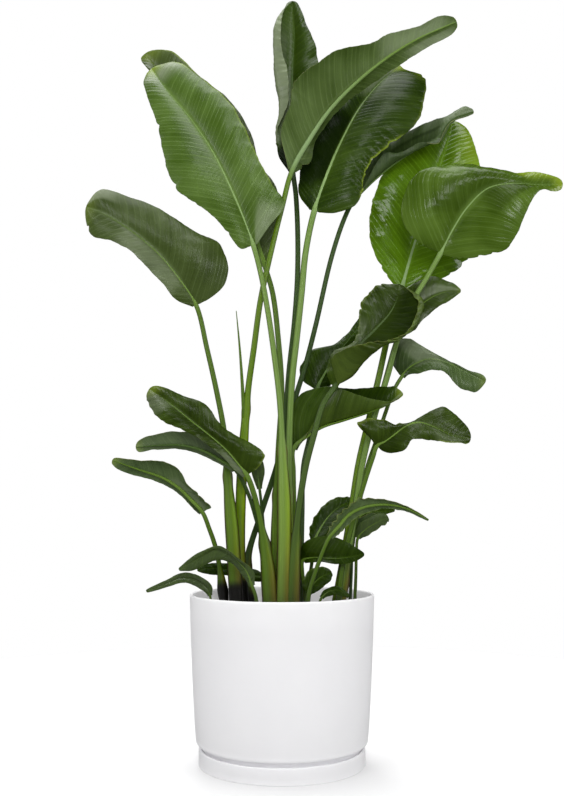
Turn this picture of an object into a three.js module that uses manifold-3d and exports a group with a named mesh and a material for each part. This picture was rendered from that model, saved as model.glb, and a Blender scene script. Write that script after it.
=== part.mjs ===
// Potted bird of paradise: thirty paddle leaves on long stalks, standing in soil
// in a round white pot on its drip saucer.
// Millimetres, +Z up, the viewer on the -Y side. The origin is the middle of the
// saucer's flat underside.

import * as THREE from 'three';
import { mergeVertices } from 'three/addons/utils/BufferGeometryUtils.js';
import Module from 'manifold-3d';

const wasm = await Module();
wasm.setup();

// Saucer
const SAUCER_RADIUS = 165;
const SAUCER_HEIGHT = 35;
const SAUCER_WALL = 6;
const SAUCER_FLOOR = 6;

// Pot
const RIM_RADIUS = 190;
const RIM_HEIGHT = 337;
const EDGE_RADIUS = 172;
const EDGE_HEIGHT = 38;
const POT_WALL = 6;
const POT_FLOOR = 10;
const FOOT_INSET = 6;

// Soil
const SOIL_HEIGHT = 292;
const SOIL_DOME = 4;
const SOIL_FLAT_SHARE = 0.8;

// Rims and edges
const EDGE_ROUND = 2;
const SEAT_GAP = 0.3;
const ROUND_SEGMENTS = 48;

// Stalks in the soil
const FOOT_DEPTH = 40;
const COLLAR_HEIGHT = 8;
const HOLE_GAP = 0.7;
const HOLE_SEGMENTS = 12;

// The eye that the leaf places are read from
const EYE = new THREE.Vector3(0, -1983, 514);

// Blades
const BLADE_THICKNESS = 1.2;
const TIP_RADIUS = 0.7;
const TIP_SPREAD = 1;
const ROOT_SPREAD = 1.5;
const ROOT_FADE = 8;
const RIB_EDGE_LIMIT = 0.6;
const RIB_GROOVE = 0.2;
const RIB_RIDGE = 1.1;
const STALK_FLATNESS = 0.85;
const STALK_END = 0.25;
const FIRST_RING = 0.35;
const RIB_TAPER = 0.8;
const SPEAR_FACE_POINTS = 4;
const WAVE_SEED = 7;

// Which face of a blade is turned to the viewer
const UPPER = 1;
const UNDER = -1;

// How finely a leaf is faceted: rings up the stalk, rings along the blade, and the
// places across each wing as shares of its width, with the rib's edge before them
const BROAD = { stalkRings: 6, bladeRings: 12, across: [0.5, 1] };
const ROLLED = { stalkRings: 6, bladeRings: 12, across: [0.33, 0.67, 1] };
const MEDIUM = { stalkRings: 5, bladeRings: 9, across: [0.5, 1] };
const SMALL = { stalkRings: 4, bladeRings: 8, across: [1] };

// Colours
const LEAF_LIGHT = 0x5d7c33;
const LEAF_DARK = 0x33501c;
const LEAF_GREY = 0x6b7a56;
const POT_WHITE = 0xebebed;
const SOIL_BROWN = 0x35281d;

// Roughness of each surface
const LEAF_ROUGHNESS = 0.42;
const POT_ROUGHNESS = 0.6;
const SOIL_ROUGHNESS = 0.95;

// Places closer than this are one corner
const WELD_DISTANCE = 1e-4;
const LENGTH_STEPS = 200;

// Each leaf is written as it is seen: a point [x, z, depth] is a place on the
// upright plane through the pot's axis, moved along the line of sight to the
// depth y. foot is where the stalk enters the soil, [x, y]. radii: stalk radius at
// the foot and at the blade. rib runs from the blade's base to its tip. left and
// right are the margins, at even steps of the rib; their third number is how much
// farther than the rib they lie. leftFold and rightFold are the lines a wing rolls
// over, and are written like margins. bow: how far each wing arches to its upper
// face, as a share of its width. wave: height and number of the margin's waves.
const LEAVES = [
  {
    name: 'leaf_01', detail: BROAD, face: UPPER, colour: LEAF_LIGHT, foot: [2, -36], radii: [8.5, 5.5],
    stalk: [[5, 500, -36], [1, 620, -36], [-4, 730, -36], [-17, 840, -37], [-31, 935, -40], [-46, 1015, -44]],
    rib: [[-62, 1076, -48], [-97, 1170, -42], [-150, 1283, -22], [-205, 1367, 4], [-255, 1428, 30],
      [-288, 1476, 66]],
    left: [[-100, 1075, -6], [-145, 1140, -14], [-195, 1178, -18], [-238, 1218, -20], [-258, 1270, -18],
      [-264, 1332, -12], [-288, 1378, -6], [-298, 1436, 0]],
    right: [[-20, 1120, -6], [6, 1168, -12], [-20, 1208, -16], [-55, 1275, -16], [-82, 1335, -14],
      [-118, 1398, -8], [-170, 1446, 0], [-232, 1487, 6]],
    bow: [0.1, 0.1], wave: [3, 3.5],
  },
  {
    name: 'leaf_02', detail: BROAD, face: UPPER, colour: LEAF_DARK, foot: [-12, -12], radii: [8, 5.5],
    stalk: [[-12, 500, -14], [-8, 620, -16], [-1, 760, -17], [-8, 870, -14], [-20, 970, -4]],
    rib: [[-37, 1030, 2], [-62, 1110, 16], [-110, 1222, 38], [-168, 1322, 62], [-240, 1425, 88],
      [-303, 1511, 112]],
    left: [[-62, 1070, -2], [-105, 1150, -6], [-150, 1240, -8], [-205, 1340, -8], [-262, 1430, -4],
      [-300, 1486, 0]],
    right: [[-24, 1058, 2], [-14, 1120, 0], [-10, 1190, -6], [-50, 1262, -8], [-68, 1325, -8],
      [-112, 1395, -6], [-178, 1455, -2], [-245, 1510, 0]],
    bow: [0.08, 0.08], wave: [3, 3],
  },
  {
    name: 'leaf_03', detail: ROLLED, face: UPPER, colour: LEAF_DARK, foot: [0, 8], radii: [7, 5.5],
    stalk: [[5, 500, 4], [8, 700, 4], [15, 800, 6], [26, 900, 12], [33, 1000, 20], [34, 1100, 34], [30, 1190, 52]],
    rib: [[24, 1240, 62], [22, 1310, 80], [22, 1400, 96], [24, 1490, 108], [27, 1570, 114], [22, 1634, 116]],
    left: [[-4, 1275, -6], [-8, 1335, -14], [14, 1408, -34], [14, 1468, -38], [0, 1520, -36], [2, 1585, -24]],
    leftFold: [[4, 1285, -4], [-8, 1340, -8], [-8, 1400, -14], [-17, 1465, -18], [-19, 1525, -18],
      [-10, 1590, -12]],
    right: [[50, 1270, -4], [66, 1340, -8], [76, 1410, -8], [81, 1475, -8], [74, 1525, -8], [50, 1582, -6]],
    bow: [0, 0.1], wave: [2, 3],
  },
  {
    name: 'leaf_04', detail: BROAD, face: UNDER, colour: LEAF_LIGHT, foot: [-78, 12], radii: [9, 5.5],
    stalk: [[-87, 420, 12], [-86, 540, 10], [-80, 660, 6], [-72, 760, 0], [-60, 850, -8], [-46, 955, -18],
      [-24, 1060, -23], [0, 1160, -25]],
    rib: [[22, 1243, -28], [55, 1305, -46], [100, 1375, -70], [150, 1431, -92], [225, 1496, -114],
      [300, 1545, -132], [388, 1586, -146]],
    left: [[2, 1330, -10], [20, 1392, -18], [27, 1442, -24], [72, 1483, -26], [130, 1521, -24],
      [195, 1534, -18], [238, 1556, -12], [295, 1571, -6], [352, 1592, -2]],
    right: [[58, 1265, 8], [70, 1308, 24], [98, 1352, 34], [135, 1392, 34], [172, 1422, 30], [215, 1455, 24],
      [262, 1487, 16], [310, 1520, 10], [372, 1561, 4]],
    bow: [0.08, 0.08], wave: [2, 3],
  },
  {
    name: 'leaf_05', detail: BROAD, face: UPPER, colour: LEAF_DARK, foot: [9, -14], radii: [8.5, 6.5],
    stalk: [[14, 500, -14], [15, 650, -16], [21, 780, -18], [31, 870, -18], [42, 970, -16], [51, 1060, -13]],
    rib: [[70, 1152, -8], [101, 1242, 0], [128, 1305, 8], [170, 1385, 20], [215, 1442, 34], [262, 1482, 60]],
    left: [[42, 1185, 0], [40, 1235, 4], [52, 1295, 6], [78, 1352, 6], [112, 1408, 6], [152, 1452, 2],
      [205, 1480, 0]],
    right: [[112, 1150, -4], [158, 1168, -8], [176, 1205, -12], [182, 1245, -14], [215, 1285, -16],
      [258, 1318, -16], [294, 1352, -14], [312, 1402, -10], [310, 1460, -4]],
    bow: [0.08, 0.12], wave: [3, 4],
  },
  {
    name: 'leaf_06', detail: ROLLED, face: UPPER, colour: LEAF_GREY, foot: [-62, 30], radii: [7, 5],
    stalk: [[-72, 400, 30], [-44, 500, 32], [-14, 590, 32], [10, 680, 30], [30, 750, 28], [50, 815, 26],
      [72, 900, 22], [107, 1050, 18], [135, 1135, 20]],
    rib: [[155, 1175, 26], [187, 1211, 38], [232, 1250, 50], [290, 1290, 60], [335, 1312, 64],
      [372, 1358, 64], [421, 1378, 62]],
    left: [[165, 1215, 6], [188, 1252, 12], [225, 1298, 16], [278, 1332, 16], [325, 1352, 14],
      [362, 1367, 10], [398, 1385, 4]],
    right: [[178, 1210, -10], [196, 1245, -22], [222, 1282, -28], [262, 1286, -26], [300, 1307, -18],
      [342, 1307, -12], [366, 1352, -6]],
    bow: [0.05, -0.25], wave: [2, 3],
  },
  {
    name: 'leaf_07', detail: BROAD, face: UPPER, colour: LEAF_LIGHT, foot: [102, -4], radii: [7, 6.5],
    stalk: [[125, 400, -2], [143, 500, 2], [160, 600, 6], [184, 700, 12], [206, 790, 18], [232, 900, 22]],
    rib: [[256, 978, 26], [288, 1085, 50], [318, 1165, 78], [345, 1255, 104], [368, 1325, 120], [374, 1356, 128]],
    left: [[218, 1025, -4], [193, 1085, -8], [192, 1140, -10], [205, 1195, -10], [232, 1255, -8],
      [272, 1298, -4], [325, 1340, 0]],
    right: [[328, 998, -4], [385, 1030, -8], [418, 1085, -10], [432, 1150, -12], [434, 1210, -10],
      [426, 1275, -8], [405, 1332, -2]],
    bow: [0.1, 0.1], wave: [3, 3],
  },
  {
    name: 'leaf_08', detail: BROAD, face: UPPER, colour: LEAF_DARK, foot: [119, -16], radii: [8, 5.5],
    stalk: [[135, 400, -16], [152, 500, -16], [168, 600, -16], [194, 700, -17], [224, 790, -19], [247, 870, -22],
      [282, 955, -24], [312, 1005, -26]],
    rib: [[342, 1058, -32], [371, 1113, -44], [402, 1160, -58], [448, 1203, -74], [500, 1214, -84],
      [560, 1210, -84], [611, 1213, -78]],
    left: [[300, 1080, 0], [264, 1125, 4], [264, 1180, 10], [295, 1236, 18], [355, 1254, 22], [425, 1254, 22],
      [490, 1240, 16], [552, 1232, 8]],
    right: [[385, 1048, -6], [438, 1055, -12], [482, 1068, -16], [506, 1100, -18], [524, 1138, -18],
      [540, 1172, -14], [562, 1200, -8], [588, 1203, -4]],
    bow: [0.1, 0.1], wave: [2, 3],
  },
  {
    name: 'leaf_09', detail: ROLLED, face: UPPER, colour: LEAF_DARK, foot: [27, -34], radii: [8.5, 6],
    stalk: [[38, 400, -36], [44, 500, -40], [50, 590, -46], [66, 660, -50], [88, 732, -52]],
    rib: [[112, 768, -54], [134, 806, -60], [160, 852, -60], [200, 892, -54], [233, 930, -48],
      [248, 962, -44], [253, 990, -42]],
    left: [[98, 800, -8], [112, 842, -6], [156, 866, 0], [165, 905, 6], [170, 948, 8], [205, 985, 6]],
    right: [[104, 832, -18], [138, 851, -28], [185, 864, -36], [222, 868, -36], [262, 884, -30], [290, 945, -16]],
    rightFold: [[148, 792, -6], [182, 828, -12], [218, 855, -16], [255, 874, -18], [280, 900, -16],
      [300, 955, -8]],
    bow: [0.08, 0], wave: [3, 5],
  },
  {
    name: 'leaf_10', detail: MEDIUM, face: UPPER, colour: LEAF_GREY, foot: [112, 20], radii: [6, 4.5],
    stalk: [[126, 400, 20], [147, 500, 21], [167, 600, 22], [196, 700, 20], [221, 790, 12], [240, 855, 4]],
    rib: [[252, 885, 0], [280, 925, -4], [312, 955, -8], [348, 972, -12], [384, 976, -18]],
    left: [[248, 930, 8], [278, 985, 14], [325, 1005, 14], [362, 994, 8]],
    right: [[280, 890, -6], [300, 912, -10], [330, 938, -10], [362, 957, -6]],
    bow: [0.1, 0.1], wave: [2, 2.5],
  },
  {
    name: 'leaf_11', detail: ROLLED, face: UPPER, colour: LEAF_GREY, foot: [122, 6], radii: [6.5, 4],
    stalk: [[140, 400, 6], [157, 500, 6], [180, 600, 6], [203, 665, 6], [218, 710, 6], [238, 762, 6]],
    rib: [[255, 790, 5], [268, 806, 2], [290, 820, -2], [315, 827, -8], [345, 822, -14], [388, 802, -22],
      [432, 778, -30]],
    left: [[236, 820, 10], [246, 866, 20], [272, 868, 24], [304, 848, 18], [335, 828, 10], [370, 814, 6],
      [402, 798, 3]],
    right: [[270, 797, -8], [293, 798, -14], [318, 805, -16], [342, 803, -16], [360, 785, -16],
      [382, 764, -12], [410, 760, -6]],
    bow: [0.12, 0.1], wave: [2, 3],
  },
  {
    name: 'leaf_12', detail: MEDIUM, face: UPPER, colour: LEAF_DARK, foot: [38, 6], radii: [6, 5],
    stalk: [[42, 500, 22], [45, 600, 36], [58, 660, 44], [67, 720, 48]],
    rib: [[74, 762, 50], [92, 798, 56], [118, 838, 62], [150, 878, 68], [182, 924, 74]],
    left: [[48, 778, 2], [39, 808, 4], [62, 842, 6], [110, 857, 6], [148, 890, 4]],
    right: [[98, 770, -2], [106, 805, -4], [128, 842, -4], [156, 870, -4], [180, 902, -2]],
    bow: [0.1, 0.1], wave: [2, 2.5],
  },
  {
    name: 'leaf_13', detail: ROLLED, face: UPPER, colour: LEAF_DARK, foot: [30, -13], radii: [6.5, 5],
    stalk: [[27, 420, -6], [25, 520, 0], [24, 590, 4]],
    rib: [[24, 636, 6], [50, 662, 4], [85, 683, -2], [130, 697, -18], [190, 716, -44], [228, 733, -58],
      [254, 757, -66]],
    left: [[20, 700, 6], [38, 749, 12], [90, 767, 16], [150, 761, 16], [198, 766, 10], [236, 767, 5]],
    right: [[50, 668, -8], [80, 715, -16], [118, 762, -20], [158, 752, -20], [200, 741, -14], [232, 739, -8]],
    bow: [0.08, -0.12], wave: [2, 2],
  },
  {
    name: 'leaf_14', detail: ROLLED, face: UPPER, colour: LEAF_DARK, foot: [112, -36], radii: [6.5, 4.5],
    stalk: [[127, 400, -38], [150, 490, -42], [178, 580, -48], [192, 620, -52]],
    rib: [[200, 642, -54], [218, 652, -58], [240, 668, -62], [262, 684, -64], [290, 692, -66],
      [322, 682, -70], [358, 664, -76], [398, 658, -82]],
    left: [[162, 688, 4], [205, 698, 4], [246, 686, 2], [280, 697, 6], [312, 712, 10], [342, 724, 12],
      [368, 707, 10], [390, 678, 6]],
    right: [[228, 630, -8], [258, 636, -14], [272, 655, -12], [295, 658, -8], [318, 654, -8],
      [342, 652, -8], [365, 650, -6], [385, 651, -3]],
    bow: [0.12, 0.12], wave: [2, 3],
  },
  {
    name: 'leaf_15', detail: BROAD, face: UPPER, colour: LEAF_DARK, foot: [-93, -9], radii: [9, 5],
    stalk: [[-103, 450, -9], [-112, 550, -9], [-122, 670, -9], [-137, 750, -10], [-160, 850, -14]],
    rib: [[-184, 944, -20], [-222, 1003, -30], [-270, 1060, -44], [-330, 1110, -60], [-390, 1148, -76],
      [-425, 1162, -88]],
    left: [[-225, 958, -6], [-255, 992, -12], [-292, 1030, -16], [-330, 1066, -16], [-378, 1087, -12],
      [-410, 1110, -6]],
    right: [[-158, 957, 4], [-124, 990, 10], [-119, 1035, 16], [-140, 1080, 22], [-192, 1108, 24],
      [-252, 1150, 24], [-322, 1184, 18], [-392, 1193, 8]],
    bow: [0.1, 0.1], wave: [2, 2.5],
  },
  {
    name: 'leaf_16', detail: BROAD, face: UPPER, colour: LEAF_DARK, foot: [-22, -30], radii: [9, 5.5],
    stalk: [[-31, 400, -30], [-44, 480, -36], [-60, 545, -42]],
    rib: [[-74, 581, -46], [-92, 604, -50], [-118, 634, -56], [-150, 662, -62], [-188, 692, -70],
      [-232, 728, -78], [-281, 764, -88]],
    left: [[-96, 594, -6], [-125, 622, -8], [-155, 645, -10], [-185, 665, -10], [-215, 679, -10],
      [-245, 692, -8], [-268, 710, -6], [-281, 742, -2]],
    right: [[-56, 592, 4], [-38, 622, 8], [-58, 643, 12], [-104, 666, 14], [-140, 694, 16], [-154, 722, 16],
      [-190, 742, 12], [-236, 754, 6]],
    bow: [0.1, 0.1], wave: [2, 2],
  },
  {
    name: 'leaf_17', detail: MEDIUM, face: UNDER, colour: LEAF_GREY, foot: [-31, -8], radii: [5.5, 4],
    stalk: [[-38, 430, -10], [-54, 490, -16], [-72, 545, -26]],
    rib: [[-98, 592, -34], [-128, 612, -36], [-165, 632, -38], [-210, 643, -40], [-260, 643, -44],
      [-308, 639, -48]],
    left: [[-120, 600, 6], [-165, 622, 10], [-215, 636, 10], [-265, 636, 6]],
    right: [[-112, 622, -6], [-140, 650, -10], [-180, 670, -12], [-225, 672, -10], [-275, 662, -6]],
    bow: [0.1, 0.1], wave: [2, 2],
  },
  {
    name: 'leaf_18', detail: MEDIUM, face: UNDER, colour: LEAF_GREY, foot: [-118, 14], radii: [6.5, 4.5],
    stalk: [[-128, 380, 14], [-138, 430, 12], [-152, 470, 9]],
    rib: [[-166, 503, 6], [-190, 529, 0], [-216, 554, -8], [-252, 576, -18], [-300, 592, -32], [-357, 612, -50]],
    left: [[-180, 508, 6], [-210, 538, 8], [-250, 563, 8], [-295, 578, 6], [-335, 590, 2]],
    right: [[-150, 512, -4], [-172, 535, -8], [-200, 560, -12], [-222, 598, -14], [-262, 610, -12],
      [-310, 609, -6]],
    bow: [0.1, 0.1], wave: [2, 2],
  },
  {
    name: 'leaf_19', detail: SMALL, face: UPPER, colour: LEAF_DARK, foot: [-50, -56], radii: [5, 3.5],
    stalk: [[-54, 328, -56]],
    rib: [[-62, 352, -56], [-75, 384, -57], [-104, 412, -60], [-140, 428, -66], [-178, 406, -74],
      [-214, 385, -84]],
    left: [[-78, 372, 4], [-105, 400, 6], [-143, 404, 6], [-182, 386, 4]],
    right: [[-60, 380, -2], [-92, 408, -4], [-128, 432, -6], [-172, 420, -4]],
    bow: [0.1, 0.1], wave: [1, 2],
  },
  {
    name: 'leaf_20', detail: SMALL, face: UPPER, colour: LEAF_DARK, foot: [-145, -36], radii: [3.5, 2.5],
    stalk: [[-147, 316, -37]],
    rib: [[-149, 332, -38], [-158, 352, -42], [-182, 366, -48], [-212, 370, -55], [-245, 356, -62],
      [-281, 341, -68]],
    left: [[-156, 338, 3], [-178, 352, 4], [-208, 360, 4], [-240, 350, 3]],
    right: [[-146, 350, -2], [-172, 372, -3], [-205, 378, -3], [-242, 362, -2]],
    bow: [0.1, 0.1], wave: [1, 2],
  },
  {
    name: 'leaf_21', detail: SMALL, face: UPPER, colour: LEAF_DARK, foot: [-16, 30], radii: [4, 3],
    stalk: [[-24, 340, 34]],
    rib: [[-37, 366, 44], [-62, 373, 52], [-100, 382, 56], [-138, 388, 56], [-176, 385, 52]],
    left: [[-50, 362, -2], [-85, 368, -4], [-120, 375, -4], [-150, 376, -2]],
    right: [[-48, 380, 2], [-85, 390, 3], [-125, 398, 3], [-155, 395, 2]],
    bow: [0.1, 0.1], wave: [1, 2],
  },
  {
    name: 'leaf_22', detail: SMALL, face: UNDER, colour: LEAF_GREY, foot: [48, -70], radii: [5.5, 4],
    stalk: [[57, 342, -72], [72, 388, -74], [88, 430, -76]],
    rib: [[99, 452, -78], [118, 474, -82], [142, 500, -86], [176, 515, -92], [222, 519, -98],
      [266, 509, -104], [306, 487, -108]],
    left: [[104, 474, -4], [126, 503, -6], [160, 528, -6], [210, 529, -4], [258, 516, -2]],
    right: [[120, 462, 4], [150, 490, 6], [188, 507, 6], [228, 512, 4], [268, 503, 2]],
    bow: [0.1, 0.1], wave: [1, 2],
  },
  {
    name: 'leaf_23', detail: SMALL, face: UPPER, colour: LEAF_DARK, foot: [47, 22], radii: [4.5, 3.5],
    stalk: [[54, 350, 22], [62, 400, 22]],
    rib: [[66, 440, 22], [80, 470, 30], [102, 500, 42], [130, 520, 54], [160, 526, 66]],
    left: [[58, 462, 2], [70, 494, 4], [98, 525, 4], [132, 535, 2]],
    right: [[88, 448, -2], [112, 470, -4], [138, 490, -4], [155, 508, -2]],
    bow: [0.1, 0.1], wave: [1, 2],
  },
  {
    name: 'leaf_24', detail: SMALL, face: UPPER, colour: LEAF_DARK, foot: [126, 34], radii: [4, 3],
    stalk: [[134, 380, 42], [146, 445, 54]],
    rib: [[162, 494, 60], [182, 503, 58], [208, 505, 54], [236, 508, 46]],
    left: [[176, 509, 2], [206, 513, 2]],
    right: [[178, 495, -2], [206, 497, -2]],
    bow: [0.1, 0.1], wave: [1, 1.5],
  },
  {
    name: 'leaf_25', detail: SMALL, face: UPPER, colour: LEAF_DARK, foot: [150, 6], radii: [4, 3],
    stalk: [[153, 370, 4], [155, 425, 0]],
    rib: [[158, 450, -3], [172, 466, -8], [196, 481, -16], [222, 493, -26]],
    left: [[158, 470, 2], [182, 492, 3], [208, 501, 2]],
    right: [[176, 456, -2], [200, 470, -3], [218, 482, -2]],
    bow: [0.1, 0.1], wave: [1, 2],
  },
  {
    name: 'leaf_26', detail: MEDIUM, face: UPPER, colour: LEAF_DARK, foot: [50, -14], radii: [5, 4],
    stalk: [[46, 350, -14], [42, 382, -14]],
    rib: [[43, 404, -16], [64, 410, -26], [88, 409, -38], [114, 408, -52], [142, 411, -62], [171, 417, -70]],
    left: [[42, 432, 2], [62, 448, 4], [95, 453, 6], [125, 446, 4], [150, 432, 2]],
    right: [[62, 402, -4], [85, 402, -6], [108, 398, -8], [132, 398, -6], [155, 405, -3]],
    bow: [0.1, 0.1], wave: [1, 2],
  },
  {
    name: 'leaf_27', detail: SMALL, face: UPPER, colour: LEAF_DARK, foot: [52, -40], radii: [4.5, 3.5],
    stalk: [[51, 318, -41]],
    rib: [[54, 336, -42], [62, 352, -44], [78, 368, -47], [103, 380, -50]],
    left: [[44, 352, 2], [52, 378, 3], [82, 391, 2]],
    right: [[72, 342, -2], [90, 354, -3], [102, 368, -2]],
    bow: [0.1, 0.1], wave: [1, 2],
  },
  {
    name: 'leaf_28', detail: SMALL, face: UPPER, colour: LEAF_DARK, foot: [76, -58], radii: [3.5, 2.5],
    stalk: [[77, 314, -58]],
    rib: [[82, 328, -60], [98, 341, -64], [120, 343, -70], [138, 330, -76]],
    left: [[86, 341, 2], [108, 350, 2], [130, 343, 1]],
    right: [[95, 332, -2], [112, 335, -2], [129, 331, -1]],
    bow: [0.1, 0.1], wave: [1, 2],
  },
  {
    name: 'leaf_29', detail: SMALL, face: UPPER, colour: LEAF_DARK, foot: [-34, 12], radii: [4.5, 3],
    stalk: [[-34, 400, 8], [-40, 490, 2]],
    rib: [[-47, 552, -6], [-50, 575, -10], [-52, 600, -14], [-58, 628, -16]],
    left: [[-58, 570, 0], [-64, 595, 0], [-64, 615, 0]],
    right: [[-40, 575, 0], [-38, 600, 0], [-48, 620, 0]],
    bow: [0.1, 0.1], wave: [1, 2],
  },
  {
    name: 'leaf_30', detail: SMALL, face: UNDER, colour: LEAF_GREY, foot: [142, 30], radii: [4, 3],
    stalk: [[144, 380, 30], [147, 440, 30]],
    rib: [[153, 470, 30], [170, 484, 28], [188, 490, 26], [204, 494, 24]],
    left: [[156, 486, -2], [175, 497, -3], [192, 500, -2]],
    right: [[166, 474, 2], [182, 482, 3], [196, 488, 2]],
    bow: [0.1, 0.1], wave: [1, 2],
  },
];

// The closed young leaf that stands in the sheath of leaf_04
const SPEAR = { path: [[-80, 700, 2], [-84, 770, -4], [-90, 850, -8], [-98, 932, -12]], radii: [4.5, 0.8], rings: 7 };

// Small helpers

// The point at a given depth on the line of sight through a place on the upright plane.
function sight([x, z, depth]) {
  const place = new THREE.Vector3(x, 0, z);
  const reach = (depth - EYE.y) / (place.y - EYE.y);
  return place.sub(EYE).multiplyScalar(reach).add(EYE);
}

// A repeatable share between 0 and 1 for each whole number.
function seededShare(number) {
  const value = Math.sin(number * 12.9898 + WAVE_SEED * 78.233) * 43758.5453;
  return value - Math.floor(value);
}

function solidFrom(geometry) {
  const bare = geometry.clone();
  bare.deleteAttribute('normal');
  bare.deleteAttribute('uv');
  const merged = mergeVertices(bare, WELD_DISTANCE);
  return new wasm.Manifold(new wasm.Mesh({
    numProp: 3,
    vertProperties: new Float32Array(merged.attributes.position.array),
    triVerts: new Uint32Array(merged.index.array),
  }));
}

function geometryFrom(solid) {
  const mesh = solid.getMesh();
  const geometry = new THREE.BufferGeometry();
  geometry.setAttribute('position', new THREE.BufferAttribute(mesh.vertProperties, 3));
  geometry.setIndex(new THREE.BufferAttribute(mesh.triVerts, 1));
  geometry.computeVertexNormals();
  return geometry;
}

function namedMesh(name, geometry, colour, roughness) {
  const material = new THREE.MeshStandardMaterial({ color: colour, roughness, metalness: 0 });
  const mesh = new THREE.Mesh(geometry, material);
  mesh.name = name;
  return mesh;
}

// A body turned round the Z axis from a profile of [radius, height] pairs, which
// runs from the axis at the bottom, up the outside and back to the axis.
function turned(profile) {
  const points = profile.map(([radius, height]) => new THREE.Vector2(radius, height));
  const geometry = new THREE.LatheGeometry(points, ROUND_SEGMENTS);
  geometry.rotateX(Math.PI / 2);
  return geometry;
}

// Leaf surface

// The local frame of the leaf's centre line: along it, to the viewer, and to the right.
function frameAt(curve, t) {
  const centre = curve.getPoint(t);
  const along = curve.getTangent(t);
  const facing = EYE.clone().sub(centre).normalize();
  facing.addScaledVector(along, -facing.dot(along)).normalize();
  const right = new THREE.Vector3().crossVectors(along, facing);
  return { centre, along, facing, right };
}

// A margin or fold line, from the base of the blade through its written places to the tip.
function edgeLine(curve, bladeStart, places) {
  const shares = places.map((place, index) => (index + 1) / (places.length + 1));
  const ribPlaces = placesAlong(curve, bladeStart, 1, shares).map((t) => curve.getPoint(t));
  const inner = places.map(([x, z, lift], index) => sight([x, z, ribPlaces[index].y + lift]));
  return new THREE.CatmullRomCurve3([curve.getPoint(bladeStart), ...inner, curve.getPoint(1)]);
}

// The three points that the wing's cross-section runs through: rib, middle, margin.
function wingSection(leaf, frame, along, side, radius) {
  const wing = leaf.wings[side];
  const spread = ROOT_SPREAD * radius * Math.pow(1 - along, ROOT_FADE) + TIP_SPREAD;
  const margin = wing.margin.getPoint(along).addScaledVector(frame.right, side * spread);
  const span = margin.clone().sub(frame.centre);
  const middle = wing.fold ? wing.fold.getPoint(along) : frame.centre.clone().addScaledVector(span, 0.5);
  const outward = new THREE.Vector3().crossVectors(span, frame.along).normalize();
  middle.addScaledVector(outward, side * leaf.face * wing.bow * span.length());
  return { rib: frame.centre, middle, margin, reach: span.length() };
}

// A place on a wing at a share of its width, with the direction to the viewer's side there.
function wingPlace(leaf, frame, section, along, side, share) {
  const { rib, middle, margin } = section;
  const place = new THREE.Vector3()
    .addScaledVector(rib, (1 - share) * (1 - 2 * share))
    .addScaledVector(middle, 4 * share * (1 - share))
    .addScaledVector(margin, share * (2 * share - 1));
  const across = new THREE.Vector3()
    .addScaledVector(rib, 4 * share - 3)
    .addScaledVector(middle, 4 - 8 * share)
    .addScaledVector(margin, 4 * share - 1);
  const normal = new THREE.Vector3().crossVectors(across, frame.along).normalize().multiplyScalar(side);
  const [height, number] = leaf.wave;
  const turn = 2 * Math.PI * (number * along + leaf.wings[side].phase);
  place.addScaledVector(normal, height * share * share * Math.sin(Math.PI * along) * Math.sin(turn));
  return { place, normal };
}

// A ring round the stalk, with as many points as a ring round the blade.
function stalkRing(frame, radius, facePoints) {
  const ring = [];
  for (let face = 0; face < 2; face += 1) {
    for (let column = 0; column < facePoints; column += 1) {
      const angle = Math.PI * (1 + face + (column + 0.5) / facePoints);
      ring.push(frame.centre.clone()
        .addScaledVector(frame.right, radius * Math.cos(angle))
        .addScaledVector(frame.facing, -radius * STALK_FLATNESS * Math.sin(angle)));
    }
  }
  return ring;
}

// A ring round the blade: the face on the viewer's side from left to right, then
// the far face from right to left. The rib stands out of the underside.
function bladeRing(leaf, frame, along, radius) {
  const near = [];
  const far = [];
  const ribNormal = new THREE.Vector3();
  [-1, 1].forEach((side) => {
    const section = wingSection(leaf, frame, along, side, radius);
    const ribEdge = Math.min(radius / section.reach, RIB_EDGE_LIMIT);
    const shares = [ribEdge, ...leaf.detail.across.map((share) => ribEdge + (1 - ribEdge) * share)];
    if (side < 0) shares.reverse();
    shares.forEach((share) => {
      const { place, normal } = wingPlace(leaf, frame, section, along, side, share);
      near.push(place.clone().addScaledVector(normal, BLADE_THICKNESS / 2));
      far.push(place.clone().addScaledVector(normal, -BLADE_THICKNESS / 2));
      if (share === ribEdge) ribNormal.add(normal);
    });
  });
  ribNormal.normalize();
  const nearHeight = radius * (leaf.face === UPPER ? RIB_GROOVE : RIB_RIDGE);
  const farHeight = radius * (leaf.face === UPPER ? RIB_RIDGE : RIB_GROOVE);
  const middle = near.length / 2;
  near.splice(middle, 0, frame.centre.clone().addScaledVector(ribNormal, nearHeight));
  far.splice(middle, 0, frame.centre.clone().addScaledVector(ribNormal, -farHeight));
  return [...near, ...far.reverse()];
}

// Curve values that divide the stretch from one value to another at the given
// shares of its length.
function placesAlong(curve, from, to, shares) {
  const lengths = [0];
  let last = curve.getPoint(from);
  for (let step = 1; step <= LENGTH_STEPS; step += 1) {
    const next = curve.getPoint(from + (to - from) * step / LENGTH_STEPS);
    lengths.push(lengths[step - 1] + next.distanceTo(last));
    last = next;
  }
  return shares.map((share) => {
    const wanted = share * lengths[LENGTH_STEPS];
    const found = lengths.findIndex((length) => length >= wanted - WELD_DISTANCE);
    const step = Math.max(1, found);
    const part = (wanted - lengths[step - 1]) / (lengths[step] - lengths[step - 1]);
    return from + (to - from) * (step - 1 + part) / LENGTH_STEPS;
  });
}

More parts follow.
